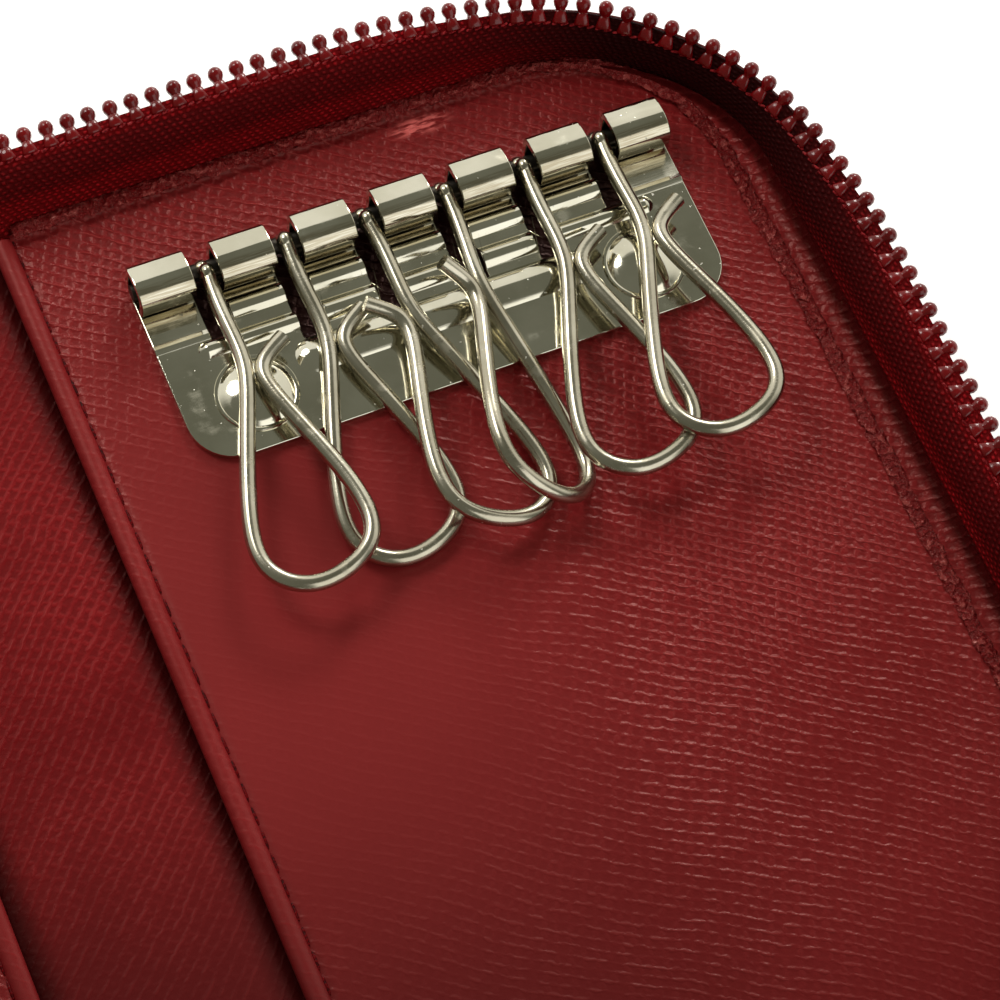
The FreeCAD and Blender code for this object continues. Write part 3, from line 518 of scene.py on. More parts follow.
class ShaderGroups:
    """Effects that several finishes share, each built once as a node group."""

    @staticmethod
    def start(name: str, values: dict[str, float]) -> tuple[NodeWriter, dict[str, Socket]]:
        """Make a group that takes a position and some values.

        Args:
            name: name of the group.
            values: default of each named value.

        Returns:
            Writer of the group and its input sockets by name.
        """
        tree = bpy.data.node_groups.new(name, "ShaderNodeTree")
        tree.interface.new_socket("Vector", in_out="INPUT", socket_type="NodeSocketVector")
        for label, default in values.items():
            socket = tree.interface.new_socket(label, in_out="INPUT", socket_type="NodeSocketFloat")
            socket.default_value = default
        writer = NodeWriter(tree)
        return writer, writer.add("NodeGroupInput").outputs

    @staticmethod
    def end(writer: NodeWriter, **outputs: Socket) -> Tree:
        """Give a group its named value outputs.

        Args:
            writer: writer of the group.
            outputs: source of each named output.

        Returns:
            The finished group.
        """
        for label in outputs:
            writer.tree.interface.new_socket(label, in_out="OUTPUT", socket_type="NodeSocketFloat")
        writer.add("NodeGroupOutput", outputs)
        return writer.tree

    @staticmethod
    def crests(writer: NodeWriter, turns: Socket) -> Socket:
        """Row of even crests, 0 to 1, one for each turn."""
        return writer.math("MULTIPLY_ADD", writer.math("SINE", writer.times(turns, math.tau)), 0.5, 0.5)

    @classmethod
    @cache
    def cross_grain(cls) -> Tree:
        """Pressed ridges with lower ridges across them and pits between, in millimetres.

        Returns:
            Group with the height and a mask of its crests.
        """
        writer, given = cls.start("cross_grain", {"Spacing": 1.1, "Slant": 0.6, "Crossing": 0.7})
        turned = writer.add("ShaderNodeVectorRotate", {"Vector": given["Vector"], "Angle": given["Slant"]},
                            rotation_type="Z_AXIS").outputs[0]
        across, along, _ = writer.parts(turned)

        # Lines sway slowly and shiver finely; the ribs across them lean, stand wider apart and are broader
        sway, shiver = writer.wander(turned, 0.03, 5.0), writer.wander(turned, 0.8, 0.5)
        drift = writer.math("ADD", sway, shiver)
        rows = writer.math("DIVIDE", writer.math("ADD", along, drift), given["Spacing"])
        ridge = writer.math("POWER", cls.crests(writer, rows), 2.5)
        lean = writer.math("MULTIPLY_ADD", along, 0.18, across)
        place, wide = writer.math("MULTIPLY_ADD", drift, 1.4, lean), writer.times(given["Spacing"], 1.12)
        rib = writer.math("POWER", cls.crests(writer, writer.math("DIVIDE", place, wide)), 1.9)
        rib = writer.times(rib, given["Crossing"])

        # Crests break up in places, and fine pores lie over all
        breaks = writer.span(writer.noise(turned, 0.7, 3.0), 0.36, 0.6, 0.22, 1.0)
        net = writer.times(writer.math("MAXIMUM", ridge, rib), breaks)
        height = writer.math("MULTIPLY_ADD", writer.noise(turned, 3.0, 3.0), 0.3, net)
        return cls.end(writer, Height=height, Crest=writer.span(height, 0.7, 1.2))

    @classmethod
    @cache
    def tape_weave(cls) -> Tree:
        """Rows of yarn humps laid like bricks, on a map in millimetres.

        Returns:
            Group with the height and a mask of its crests.
        """
        writer, given = cls.start("tape_weave", {"Yarn": 0.5})
        sheet, yarn = given["Vector"], given["Yarn"]

        # Yarns stray from their rows by up to a quarter of a millimetre
        stray = writer.add("ShaderNodeTexNoise", {"Vector": sheet, "Scale": 0.9, "Detail": 3.0})
        centred = writer.vector("SUBTRACT", stray.outputs["Color"], (0.5, 0.5, 0.5)).outputs[0]
        pulled = writer.vector("MULTIPLY_ADD", centred, (0.5, 0.5, 0.5), sheet).outputs[0]
        across, along, _ = writer.parts(pulled)
        row = writer.math("DIVIDE", along, yarn)
        step = writer.times(writer.math("FLOOR", row), 0.36)
        pick = writer.math("ADD", writer.math("DIVIDE", across, writer.times(yarn, 1.9)), step)
        bed = writer.math("ABSOLUTE", writer.math("SINE", writer.times(row, math.pi)))
        fuzz = writer.times(writer.noise(sheet, 1.5, 5.0), 1.2)
        height = writer.math("ADD", writer.times(bed, cls.crests(writer, pick)), fuzz)
        return cls.end(writer, Height=height, Crest=writer.span(height, 0.8, 1.6))

    @classmethod
    @cache
    def mottle(cls) -> Tree:
        """Slow patches and fine specks that keep a finish from being even.

        Returns:
            Group with a mask of each.
        """
        writer, given = cls.start("mottle", {"Size": 20.0})
        share = writer.math("DIVIDE", 1.0, given["Size"])
        scaled = writer.add("ShaderNodeVectorMath", {0: given["Vector"], "Scale": share},
                            operation="SCALE").outputs[0]
        patch = writer.span(writer.noise(scaled, 1.0, 3.0), 0.3, 0.7)
        speck = writer.span(writer.noise(scaled, 14.0, 2.0), 0.45, 0.75)
        return cls.end(writer, Patch=patch, Speck=speck)


# Finishes
@dataclass(frozen=True)
class Finish:
    """A named surface finish and the record's slot that it belongs to; places and sizes in millimetres."""

    name: str
    slot: str
    depth: float = 0.05
    gloss: float = 0.5

    @cache
    def material(self) -> bpy.types.Material:
        """Material of this finish, built on first use.

        Returns:
            The material.
        """
        made = bpy.data.materials.new(self.name)
        made.use_nodes = True
        made.node_tree.nodes.clear()
        writer = NodeWriter(made.node_tree)
        colour, roughness, height = self.surface(writer)
        bump = writer.add("ShaderNodeBump", {"Strength": 1.0, "Distance": self.depth * MM, "Height": height})
        shader = writer.add("ShaderNodeBsdfPrincipled", {
            "Base Color": colour, "Roughness": roughness, "Normal": bump.outputs[0],
            "Specular IOR Level": self.gloss, **self.even_values()})
        writer.add("ShaderNodeOutputMaterial", {"Surface": shader.outputs[0]})
        return made

    def surface(self, writer: NodeWriter) -> Surface:
        """Colour, roughness and height over the surface; each kind of finish has its own."""
        raise NotImplementedError

    def even_values(self) -> dict[str, object]:
        """Further shader inputs that are the same all over, where a finish has any."""
        return {}


@dataclass(frozen=True)
class Leather(Finish):
    """Cross-grained leather with a glossy dressing."""

    depth: float = 0.19
    gloss: float = 0.3
    tone: Colour = srgb(138, 39, 41)
    deep: Colour = srgb(126, 33, 35)
    painted_gleam: Colour = srgb(190, 88, 84)
    pit_shade: Colour = srgb(70, 8, 12)
    rubbed: Colour = srgb(133, 45, 46)
    painted_shadow: Colour = srgb(84, 27, 28)
    scraped: Colour = srgb(236, 112, 108)
    shadow: Colour = srgb(40, 3, 6)
    # Painted shade: the dark colour under the plate and in its slots
    stain_and_shade: Colour = srgb(24, 3, 5)
    # Painted shade in the fold
    fold_shade: Colour = srgb(44, 4, 7)
    tint: Colour = (1.0, 0.56, 0.5, 1.0)
    patch: float = 22.0
    spacing: float = 1.1
    slant: float = math.radians(34)
    crossing: float = 0.7
    crumple: float = 0.0
    roughness: float = 0.26

    # Marks of use and painted shade, where there are any: middle and reach of the handled area, span along
    # the case over which a painted shadow darkens the dye, middle of the scuff, span up the wall of painted
    # shade, box of painted shade under the plate and span of painted shade into the fold
    handled: Point | None = None
    shadow_span: Spot | None = None
    shadow_across: Spot = (22.0, 80.0)
    scuff: Spot | None = None
    scuff_reach: float = 4.6
    shaded: Spot | None = None
    # Box, across and along the case, of painted shade under the plate
    pressed: tuple[float, float, float, float] | None = None
    plate_shade_edge: float = 0.8
    fold: Spot | None = None

    def surface(self, writer: NodeWriter) -> Surface:
        """Patchy dye with painted highlights on the smoother crests and painted shade in the pits, worn and
        marked by use, and darkened in places by painted shade and shadow.

        Args:
            writer: the material's node writer.

        Returns:
            Colour, roughness and height.
        """
        height, crest = self.relief(writer)
        patches = writer.group(ShaderGroups.mottle(), {"Vector": writer.place, "Size": self.patch})
        patch = patches.outputs["Patch"]
        colour = writer.mix(patch, self.deep, self.tone)
        colour, left = self.wear_and_shadow(writer, colour, writer.span(patch, 0.0, 1.0, 0.65, 1.0))
        crest = writer.times(crest, left)
        # Painted shade in the pits of the grain
        pit_shade_mask = writer.times(writer.span(height, 0.12, 0.45, 0.45, 0.0), left)
        colour = writer.mix(pit_shade_mask, colour, self.pit_shade)
        # Painted highlight: the crests are lightened toward a glint colour
        colour = self.marks(writer, writer.mix(writer.times(crest, 0.22), colour, self.painted_gleam))
        roughness = writer.span(crest, 0.0, 1.0, self.roughness + 0.06, self.roughness - 0.1)
        return colour, roughness, writer.times(height, left)

    def even_values(self) -> dict[str, object]:
        """Warm tint of the gloss."""
        return {"Specular Tint": self.tint}

    def relief(self, writer: NodeWriter) -> tuple[Socket, Socket]:
        """Pressed grain, or creases where the leather is crumpled.

        Args:
            writer: the material's node writer.

        Returns:
            Height of the surface and mask of its crests.
        """
        if self.crumple:
            height = writer.span(writer.noise(writer.place, self.crumple, 4.0), 0.32, 0.68)
            return height, writer.span(height, 0.55, 0.95)
        grain = writer.group(ShaderGroups.cross_grain(), {"Vector": writer.place, "Spacing": self.spacing,
                                                          "Slant": self.slant, "Crossing": self.crossing})
        return grain.outputs["Height"], grain.outputs["Crest"]

    def wear_and_shadow(self, writer: NodeWriter, colour: Socket, left: Socket) -> tuple[Socket, Socket]:
        """Rub the grain flat where the case is handled, and darken the dye with painted shadow and soften the
        grain toward the case's lower end.

        Args:
            writer: the material's node writer.
            colour: dye before these changes.
            left: share of the grain that is left before these changes.

        Returns:
            Dye and share of the grain after these changes.
        """
        if self.handled is not None:
            rubbed = self.oval(writer, self.handled, (1.0, 0.75), 0.75)
            left = writer.times(left, writer.math("SUBTRACT", 1.0, writer.times(rubbed, 0.93)))
            colour = writer.mix(writer.times(rubbed, 0.7), colour, self.rubbed)
        # Painted shadow: the dye darkens toward the case's lower end, most near the middle across the case,
        # and the grain softens there too
        if self.shadow_span is not None:
            across, along, _ = writer.parts(writer.place)
            near = writer.span(writer.math("ABSOLUTE", across), *self.shadow_across, 1.0, 0.4)
            painted_shadow = writer.times(writer.span(along, *self.shadow_span, 0.95, 0.0), near)
            colour = writer.mix(painted_shadow, colour, self.painted_shadow)
            left = writer.times(left, writer.span(along, *self.shadow_span, 0.35, 1.0))
        return colour, left

    def marks(self, writer: NodeWriter, colour: Socket) -> Socket:
        """Scuff, and painted shade up the wall, under the plate and into the fold.

        Args:
            writer: the material's node writer.
            colour: colour without the marks.

        Returns:
            Colour with the marks that this leather has.
        """
        across, _, up = writer.parts(writer.place)
        if self.scuff is not None:
            streak = writer.add("ShaderNodeMapping", {"Vector": writer.place, "Rotation": (0, 0, -0.25),
                                                      "Scale": (0.5, 2.4, 1.0)}).outputs[0]
            flecks = writer.span(writer.noise(streak, 1.0, 5.0), 0.4, 0.58, 0.0, 0.95)
            worn = self.oval(writer, (*self.scuff, self.scuff_reach), (1.0, 3.0), 0.7)
            colour = writer.mix(writer.times(worn, flecks), colour, self.scraped)
        if self.shaded is not None:
            colour = writer.mix(writer.span(up, *self.shaded, 0.0, 0.8), colour, self.shadow)
        # Painted shade on the leather under the plate, seen dark in its slots
        if self.pressed is not None:
            colour = writer.mix(self.plate_shade_mask(writer), colour, self.stain_and_shade)
        # Painted shade: the lining darkens into the fold beside the raised strip
        if self.fold is not None:
            deep = writer.span(writer.math("ABSOLUTE", across), *self.fold, 0.0, 0.92)
            colour = writer.mix(deep, colour, self.fold_shade)
        return colour

    def plate_shade_mask(self, writer: NodeWriter) -> Socket:
        """Mask of painted shade on the leather under the metal plate.

        Args:
            writer: the material's node writer.

        Returns:
            One under the plate, zero beside it.
        """
        across, along, _ = writer.parts(writer.place)
        left, right, low, high = self.pressed
        inside = []
        for way, first, last in ((across, left, right), (along, low, high)):
            inside.append(writer.span(way, first, first + self.plate_shade_edge))
            inside.append(writer.span(way, last - self.plate_shade_edge, last, 1.0, 0.0))
        return writer.times(*inside)

    @staticmethod
    def oval(writer: NodeWriter, centre: Point, scale: Spot, softness: float) -> Socket:
        """Soft oval mask.

        Args:
            writer: the material's node writer.
            centre: middle of the oval and, last, its reach.
            scale: how much shorter the oval is along each side.
            softness: share of the reach over which it fades.

        Returns:
            One inside, zero outside.
        """
        shift = (-centre[0], -centre[1], 0)
        local = writer.add("ShaderNodeMapping", {"Vector": writer.place, "Location": shift}).outputs[0]
        flat = writer.vector("MULTIPLY", local, (*scale, 0.0)).outputs[0]
        reach = writer.vector("LENGTH", flat).outputs["Value"]
        return writer.span(reach, centre[2] * (1 - softness), centre[2], 1.0, 0.0)


@dataclass(frozen=True)
class Tape(Finish):
    """Woven polyester zip tape, on a map in millimetres."""

    depth: float = 0.16
    gloss: float = 0.08
    tone: Colour = srgb(168, 22, 30)
    deep: Colour = srgb(98, 6, 12)
    shade: Colour = srgb(36, 1, 4)
    patch: float = 5.0
    yarn: float = 0.46

    # Painted shade in a band under the teeth, spans across and along the case that lead into a corner of
    # painted shade, and the place across the map where the inner face ends
    band: Spot = (9.2, 12.8)
    corner: tuple[Spot, Spot] = ((62.0, 84.0), (2.0, 46.0))
    inner: float = 16.0

    def surface(self, writer: NodeWriter) -> Surface:
        """Yarn humps in a lighter tone over dark gaps, with painted shade under the teeth and inside the
        corners.

        Args:
            writer: the material's node writer.

        Returns:
            Colour, roughness and height.
        """
        sheet = writer.add("ShaderNodeUVMap", uv_map="UVMap").outputs[0]
        weave = writer.group(ShaderGroups.tape_weave(), {"Vector": sheet, "Yarn": self.yarn})
        patch = writer.group(ShaderGroups.mottle(), {"Vector": sheet, "Size": self.patch}).outputs["Patch"]
        crest = weave.outputs["Crest"]
        colour = writer.mix(crest, self.deep, self.tone)
        colour = writer.mix(writer.times(patch, 0.6), colour, self.deep)
        across = writer.parts(sheet)[1]
        # Painted shade in a band under the teeth
        low, high = self.band
        rising = writer.span(across, low - 1.0, low + 0.6)
        falling = writer.span(across, high - 0.5, high + 0.2, 0.5, 0.0)
        colour = writer.mix(writer.times(rising, falling), colour, self.shade)
        # Painted shade inside the corners, on the inner face only
        far = [writer.span(writer.math("ABSOLUTE", part), *limits)
               for part, limits in zip(writer.parts(writer.place), self.corner)]
        inside = writer.span(across, self.inner - 0.8, self.inner, 0.92, 0.0)
        colour = writer.mix(writer.times(*far, inside), colour, self.shade)
        return colour, writer.span(crest, 0.0, 1.0, 0.8, 0.45), weave.outputs["Height"]


@dataclass(frozen=True)
class Enamel(Finish):
    """Glossy red paint on moulded or stamped pieces."""

    depth: float = 0.01
    gloss: float = 0.22
    tone: Colour = srgb(122, 14, 20)
    deep: Colour = srgb(98, 6, 12)
    patch: float = 4.0
    coat: float = 0.45
    coat_roughness: float = 0.1

    def surface(self, writer: NodeWriter) -> Surface:
        """Even paint with faint specks.

        Args:
            writer: the material's node writer.

        Returns:
            Colour, roughness and height.
        """
        patches = writer.group(ShaderGroups.mottle(), {"Vector": writer.place, "Size": self.patch})
        speck = patches.outputs["Speck"]
        colour = writer.mix(patches.outputs["Patch"], self.deep, self.tone)
        return colour, writer.span(speck, 0.0, 1.0, 0.2, 0.3), speck

    def even_values(self) -> dict[str, object]:
        """Clear coat."""
        return {"Coat Weight": self.coat, "Coat Roughness": self.coat_roughness}


@dataclass(frozen=True)
class Plated(Finish):
    """Warm nickel plate with smudges, fine draw lines, pin specks and, where it has one, a tarnished band."""

    depth: float = 0.004
    tone: Colour = (0.72, 0.70, 0.59, 1.0)
    dull: Colour = (0.52, 0.50, 0.39, 1.0)
    pin: Colour = (0.86, 0.85, 0.78, 1.0)
    stain_and_shade: Colour = (0.3, 0.24, 0.14, 1.0)
    patch: float = 6.0
    roughness: float = 0.07
    tarnish: Spot | None = None

    def surface(self, writer: NodeWriter) -> Surface:
        """Metal whose gloss and tone vary with handling.

        Args:
            writer: the material's node writer.

        Returns:
            Colour, roughness and height.
        """
        place = writer.place
        patch = writer.group(ShaderGroups.mottle(), {"Vector": place, "Size": self.patch}).outputs["Patch"]
        smear = writer.span(writer.noise(place, 0.34, 6.0), 0.56, 0.72)
        pins = writer.span(writer.noise(place, 2.2, 1.0), 0.765, 0.8)
        lines = writer.add("ShaderNodeMapping", {"Vector": place, "Scale": (0.25, 5.0, 5.0)}).outputs[0]
        drawn = writer.noise(lines, 1.0, 3.0)
        colour = writer.mix(writer.times(patch, 0.6), self.tone, self.dull)
        colour = writer.mix(writer.times(pins, 0.5), colour, self.pin)
        if self.tarnish is not None:
            along = writer.parts(place)[1]
            above = writer.span(along, self.tarnish[0] - 0.7, self.tarnish[0])
            under = writer.span(along, self.tarnish[1], self.tarnish[1] + 0.5, 1.0, 0.0)
            cloudy = writer.span(writer.noise(lines, 1.3, 5.0), 0.3, 0.6, 0.15, 0.6)
            colour = writer.mix(writer.times(above, under, cloudy), colour, self.stain_and_shade)
        even = writer.span(drawn, 0.3, 0.7, self.roughness, self.roughness + 0.04)
        smeared = writer.math("MULTIPLY_ADD", smear, 0.16, even)
        roughness = writer.math("MULTIPLY_ADD", pins, 0.3, smeared)
        return colour, roughness, writer.math("MULTIPLY_ADD", pins, 2.0, drawn)

    def even_values(self) -> dict[str, object]:
        """Metal all over."""
        return {"Metallic": 1.0}


@dataclass(frozen=True)
class Fibre(Finish):
    """Strands in two tones, as in twisted sewing thread or pressed card."""

    depth: float = 0.08
    gloss: float = 0.1
    tone: Colour = srgb(104, 12, 18)
    deep: Colour = srgb(58, 3, 8)
    scale: float = 3.5
    detail: float = 3.0
    contrast: Spot = (0.4, 0.6)
    roughness: Spot = (0.5, 0.3)

    def surface(self, writer: NodeWriter) -> Surface:
        """Light strands over dark and duller grooves.

        Args:
            writer: the material's node writer.

        Returns:
            Colour, roughness and height.
        """
        strand = writer.noise(writer.place, self.scale, self.detail)
        colour = writer.mix(writer.span(strand, *self.contrast), self.deep, self.tone)
        return colour, writer.span(strand, 0.3, 0.7, *self.roughness), strand


LINING = Leather(
    "lining_leather", "red_leather", crossing=0.55, handled=(24.0, 2.0, 46.0), scuff=(59.4, 55.2),
    pressed=(27.0, 79.0, 32.0, 46.6), shadow_span=(-52.0, 4.0), shaded=(3.1, 4.1))
EDGE = Leather(
    "edge_leather", "red_leather", depth=0.02, roughness=0.36, pit_shade=srgb(116, 22, 26), painted_gleam=srgb(152, 46, 48),
    shadow_span=(-52.0, 4.0))
CRUMPLED = Leather(
    "crumpled_leather", "red_leather", crumple=1.3, depth=0.6, roughness=0.24, gloss=0.45,
    tone=srgb(124, 22, 26), painted_gleam=srgb(222, 128, 120), pit_shade=srgb(58, 5, 9))
SPINE_LINING = Leather(
    "spine_lining_leather", "red_leather", slant=math.radians(-48), crossing=0.35, depth=0.12, roughness=0.4,
    gloss=0.12, tone=srgb(136, 32, 35), deep=srgb(108, 20, 24), painted_gleam=srgb(160, 60, 60), fold=(8.0, 11.6),
    shadow_span=(-36.0, 14.0))
OUTER = Leather(
    "outer_leather", "red_leather", crossing=0.45, depth=0.13, pit_shade=srgb(108, 18, 22), painted_gleam=srgb(166, 62, 60))
TAPE = Tape("woven_tape", "zip_tape")
TOOTH = Enamel("tooth_enamel", "enamelled_teeth")
NICKEL = Plated("warm_nickel", "nickel_plate", tarnish=(42.0, 43.9))
ROD = Plated(
    "rod_steel", "nickel_plate", tone=(0.08, 0.07, 0.06, 1.0), dull=(0.04, 0.035, 0.03, 1.0), roughness=0.4)
SPRING = Plated(
    "spring_nickel", "spring_wire", tone=(0.58, 0.55, 0.45, 1.0), dull=(0.32, 0.29, 0.21, 1.0),
    roughness=0.19, depth=0.008)
THREAD = Fibre("sewing_thread", "red_leather")
CHAIN_THREAD = Fibre("chain_thread", "zip_tape", tone=srgb(164, 48, 52), deep=srgb(104, 16, 22))
BOARD = Fibre(
    "dyed_board", "backing_board", depth=0.05, gloss=0.5, tone=srgb(98, 20, 24), deep=srgb(70, 12, 16),
    scale=2.0, detail=5.0, contrast=(0.35, 0.65), roughness=(0.95, 0.8))


def dress(piece: Piece, finish: Finish) -> None:
    """Give a piece the material of its finish and no other."""
    piece.data.materials.clear()
    piece.data.materials.append(finish.material())


def hand_over(piece: Piece, finish: Finish, body: str, *nodes: str) -> None:
    """Give a finished piece its material and body, and hide the solids that it stands for.

    Args:
        piece: finished mesh object.
        finish: its finish.
        body: body that carries it.
        nodes: names of the solids that it replaces.
    """
    dress(piece, finish)
    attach(piece, body)
    if nodes:
        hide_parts(*nodes)
    LOG.info("%s: %d faces on %s", piece.name, len(piece.data.polygons), body)


def hand_over_fold(piece: Piece, finish: Finish, half: Half, start: float, end: float) -> None:
    """Give a sheet that crosses a fold its material and bake its place into its mesh.

    Args:
        piece: finished mesh object that crosses the fold.
        finish: its finish.
        half: half that it leads to.
        start: distance from the middle where the bend starts, in millimetres; not used.
        end: distance from the middle where the bend ends; not used.
    """
    dress(piece, finish)
    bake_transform(piece)
    LOG.info("%s: %d faces across the %s fold", piece.name, len(piece.data.polygons), half.value)


# Rows along a path
class PathRow:
    """Copies of one pattern laid along a path with Geometry Nodes."""

    TILT = "tilt_angle"

    @classmethod
    @cache
    def tree(cls) -> Tree:
        """Node tree that spaces and turns the copies, built on first use.

        Returns:
            The tree.
        """
        tree = bpy.data.node_groups.new("copies_along_path", "GeometryNodeTree")
        for label, kind in (("Geometry", "NodeSocketGeometry"), ("Pattern", "NodeSocketObject"),
                            ("Spacing", "NodeSocketFloat"), ("Wobble", "NodeSocketFloat"),
                            ("Seed", "NodeSocketInt"), ("Finish", "NodeSocketMaterial")):
            tree.interface.new_socket(label, in_out="INPUT", socket_type=kind)
        tree.interface.new_socket("Geometry", in_out="OUTPUT", socket_type="NodeSocketGeometry")
        writer = NodeWriter(tree)
        given = writer.add("NodeGroupInput").outputs
        path = writer.add("GeometryNodeMeshToCurve", {"Mesh": given["Geometry"]})
        spaced = writer.add("GeometryNodeResampleCurve", {
            "Curve": path.outputs[0], "Length": given["Spacing"]}, mode="LENGTH")
        along, aside, _ = writer.parts(writer.add("GeometryNodeInputTangent").outputs[0])
        heading = writer.math("ARCTAN2", aside, along)
        swing = writer.add("FunctionNodeRandomValue", {"Seed": given["Seed"]}, data_type="FLOAT")
        sway = writer.times(writer.math("SUBTRACT", swing.outputs[1], 0.5), given["Wobble"])
        tilt = writer.add("GeometryNodeInputNamedAttribute", {"Name": cls.TILT}, data_type="FLOAT").outputs[0]
        spin = writer.add("ShaderNodeCombineXYZ", {"X": writer.math("ADD", sway, tilt),
                                                   "Z": writer.math("ADD", heading, sway)})
        turn = writer.add("FunctionNodeEulerToRotation", {0: spin.outputs[0]})
        pattern = writer.add("GeometryNodeObjectInfo", {"Object": given["Pattern"], "As Instance": True})
        laid = writer.add("GeometryNodeInstanceOnPoints", {
            "Points": spaced.outputs[0], "Instance": pattern.outputs["Geometry"],
            "Rotation": turn.outputs[0]})
        solid = writer.add("GeometryNodeRealizeInstances", {"Geometry": laid.outputs[0]})
        finished = writer.add("GeometryNodeSetMaterial", {
            "Geometry": solid.outputs[0], "Material": given["Finish"]})
        writer.add("NodeGroupOutput", {"Geometry": finished.outputs[0]})
        return tree

    @classmethod
    def lay(cls, name: str, path: Sequence[Sequence[float]], pattern: Piece, spacing: float,
            finish: Finish, wobble: float = 0.0, seed: int = 3,
            tilts: Sequence[float] | None = None) -> Piece:
        """Lay copies of a pattern along a path.

        Args:
            name: name of the row.
            path: points of the path in millimetres.
            pattern: object to copy, with X along the path and Y to its left.
            spacing: distance between copies in millimetres.
            finish: finish of the copies.
            wobble: largest random turn in degrees.
            seed: fixed seed of the random values.
            tilts: optional turn of the copies about the path at each point, in radians.

        Returns:
            The row as one plain mesh object.
        """
        line = bpy.data.meshes.new(name)
        links = [(index, index + 1) for index in range(len(path) - 1)]
        line.from_pydata([Vector(point) * MM for point in path], links, [])
        turns = line.attributes.new(cls.TILT, "FLOAT", "POINT")
        turns.data.foreach_set("value", tilts or [0.0] * len(path))
        row = new_object(name, line)
        modifier = row.modifiers.new("copies", "NODES")
        modifier.node_group = cls.tree()
        values = {"Pattern": pattern, "Spacing": spacing * MM, "Wobble": math.radians(wobble), "Seed": seed,
                  "Finish": finish.material()}
        for item in cls.tree().interface.items_tree:
            if item.in_out == "INPUT" and item.name in values:
                modifier[item.identifier] = values[item.name]
        return settle(row)


@dataclass(frozen=True)
class SeamLine:
    """Seam round a half: across its far end, down the free side and back, in millimetres."""

    near_x: float = 11.85
    far_x: float = 91.85
    half_length: float = 58.0
    corner: float = 21.5
    corner_spread: float = 34.0

    def stations(self, offset: float, first: float = 0.0, last: float = 0.0, straight: int = 30,
                 bend: int = 14, side: int = 30) -> list[tuple[Spot, Spot]]:
        """Places along the seam with their outward directions.

        Args:
            offset: distance outside the seam.
            first: distance of the first end from the spine edge.
            last: distance of the last end from the spine edge.
            straight: steps along each end.
            bend: steps round each corner.
            side: steps down the free side.

        Returns:
            Place and outward direction of each station.
        """
        middle_x, middle_y = self.far_x - self.corner, self.half_length - self.corner
        reach = self.corner + offset
        runs: list[list[tuple[Spot, Spot]]] = []
        for inset, sign in ((first, 1.0), (last, -1.0)):
            start = self.near_x + inset
            run = [((start + (middle_x - start) * step / straight, sign * (middle_y + reach)), (0.0, sign))
                   for step in range(straight)]
            for angle in arc(90.0, 0.0, bend):
                out = (math.cos(angle), sign * math.sin(angle))
                run.append(((middle_x + reach * out[0], sign * middle_y + reach * out[1]), out))
            runs.append(run)
        down = [((middle_x + reach, middle_y * (1 - 2 * step / side)), (1.0, 0.0)) for step in range(1, side)]
        return runs[0] + down + runs[1][::-1]

    def path(self, offset: float, level: float, half: Half, inset: float) -> list[Point]:
        """Points of the line at an offset and level on one half, both ends inset from the spine edge."""
        return [half.place((*spot, level)) for spot, _ in self.stations(offset, inset, inset)]

    def corner_share(self, spot: Spot, out: Spot) -> float:
        """How near a place on the seam is to a corner's middle: one there, zero well away from it.

        Args:
            spot: the place.
            out: outward direction there.

        Returns:
            The share, falling smoothly with the way along the seam.
        """
        turn = abs(math.atan2(out[0], abs(out[1])) - math.pi / 4)
        away = (self.corner * turn + max(self.far_x - self.corner - spot[0], 0.0)
                + max(self.half_length - self.corner - abs(spot[1]), 0.0))
        return math.cos(math.pi / 2 * min(away / self.corner_spread, 1.0)) ** 2


SEAM = SeamLine()


def stitch(length: float, radius: float, lean: float = 0.0) -> Piece:
    """One stitch of thread along X, thin at both ends where it goes into the leather.

    Args:
        length: length on the surface in millimetres.
        radius: radius of the thread.
        lean: slant of the stitch in degrees.

    Returns:
        Pattern object for a row of stitches.
    """
    profile = ((0.0, -0.5), (0.62, -0.47), (1.0, -0.3), (1.05, 0.0), (1.0, 0.3), (0.62, 0.47), (0.0, 0.5))
    shape = [(radius * wide, length * along) for wide, along in profile]
    pattern = lathe("stitch", shape, 6, along_x=True)
    pattern.data.transform(Matrix.Rotation(math.radians(lean), 4, "Z"))
    return pattern


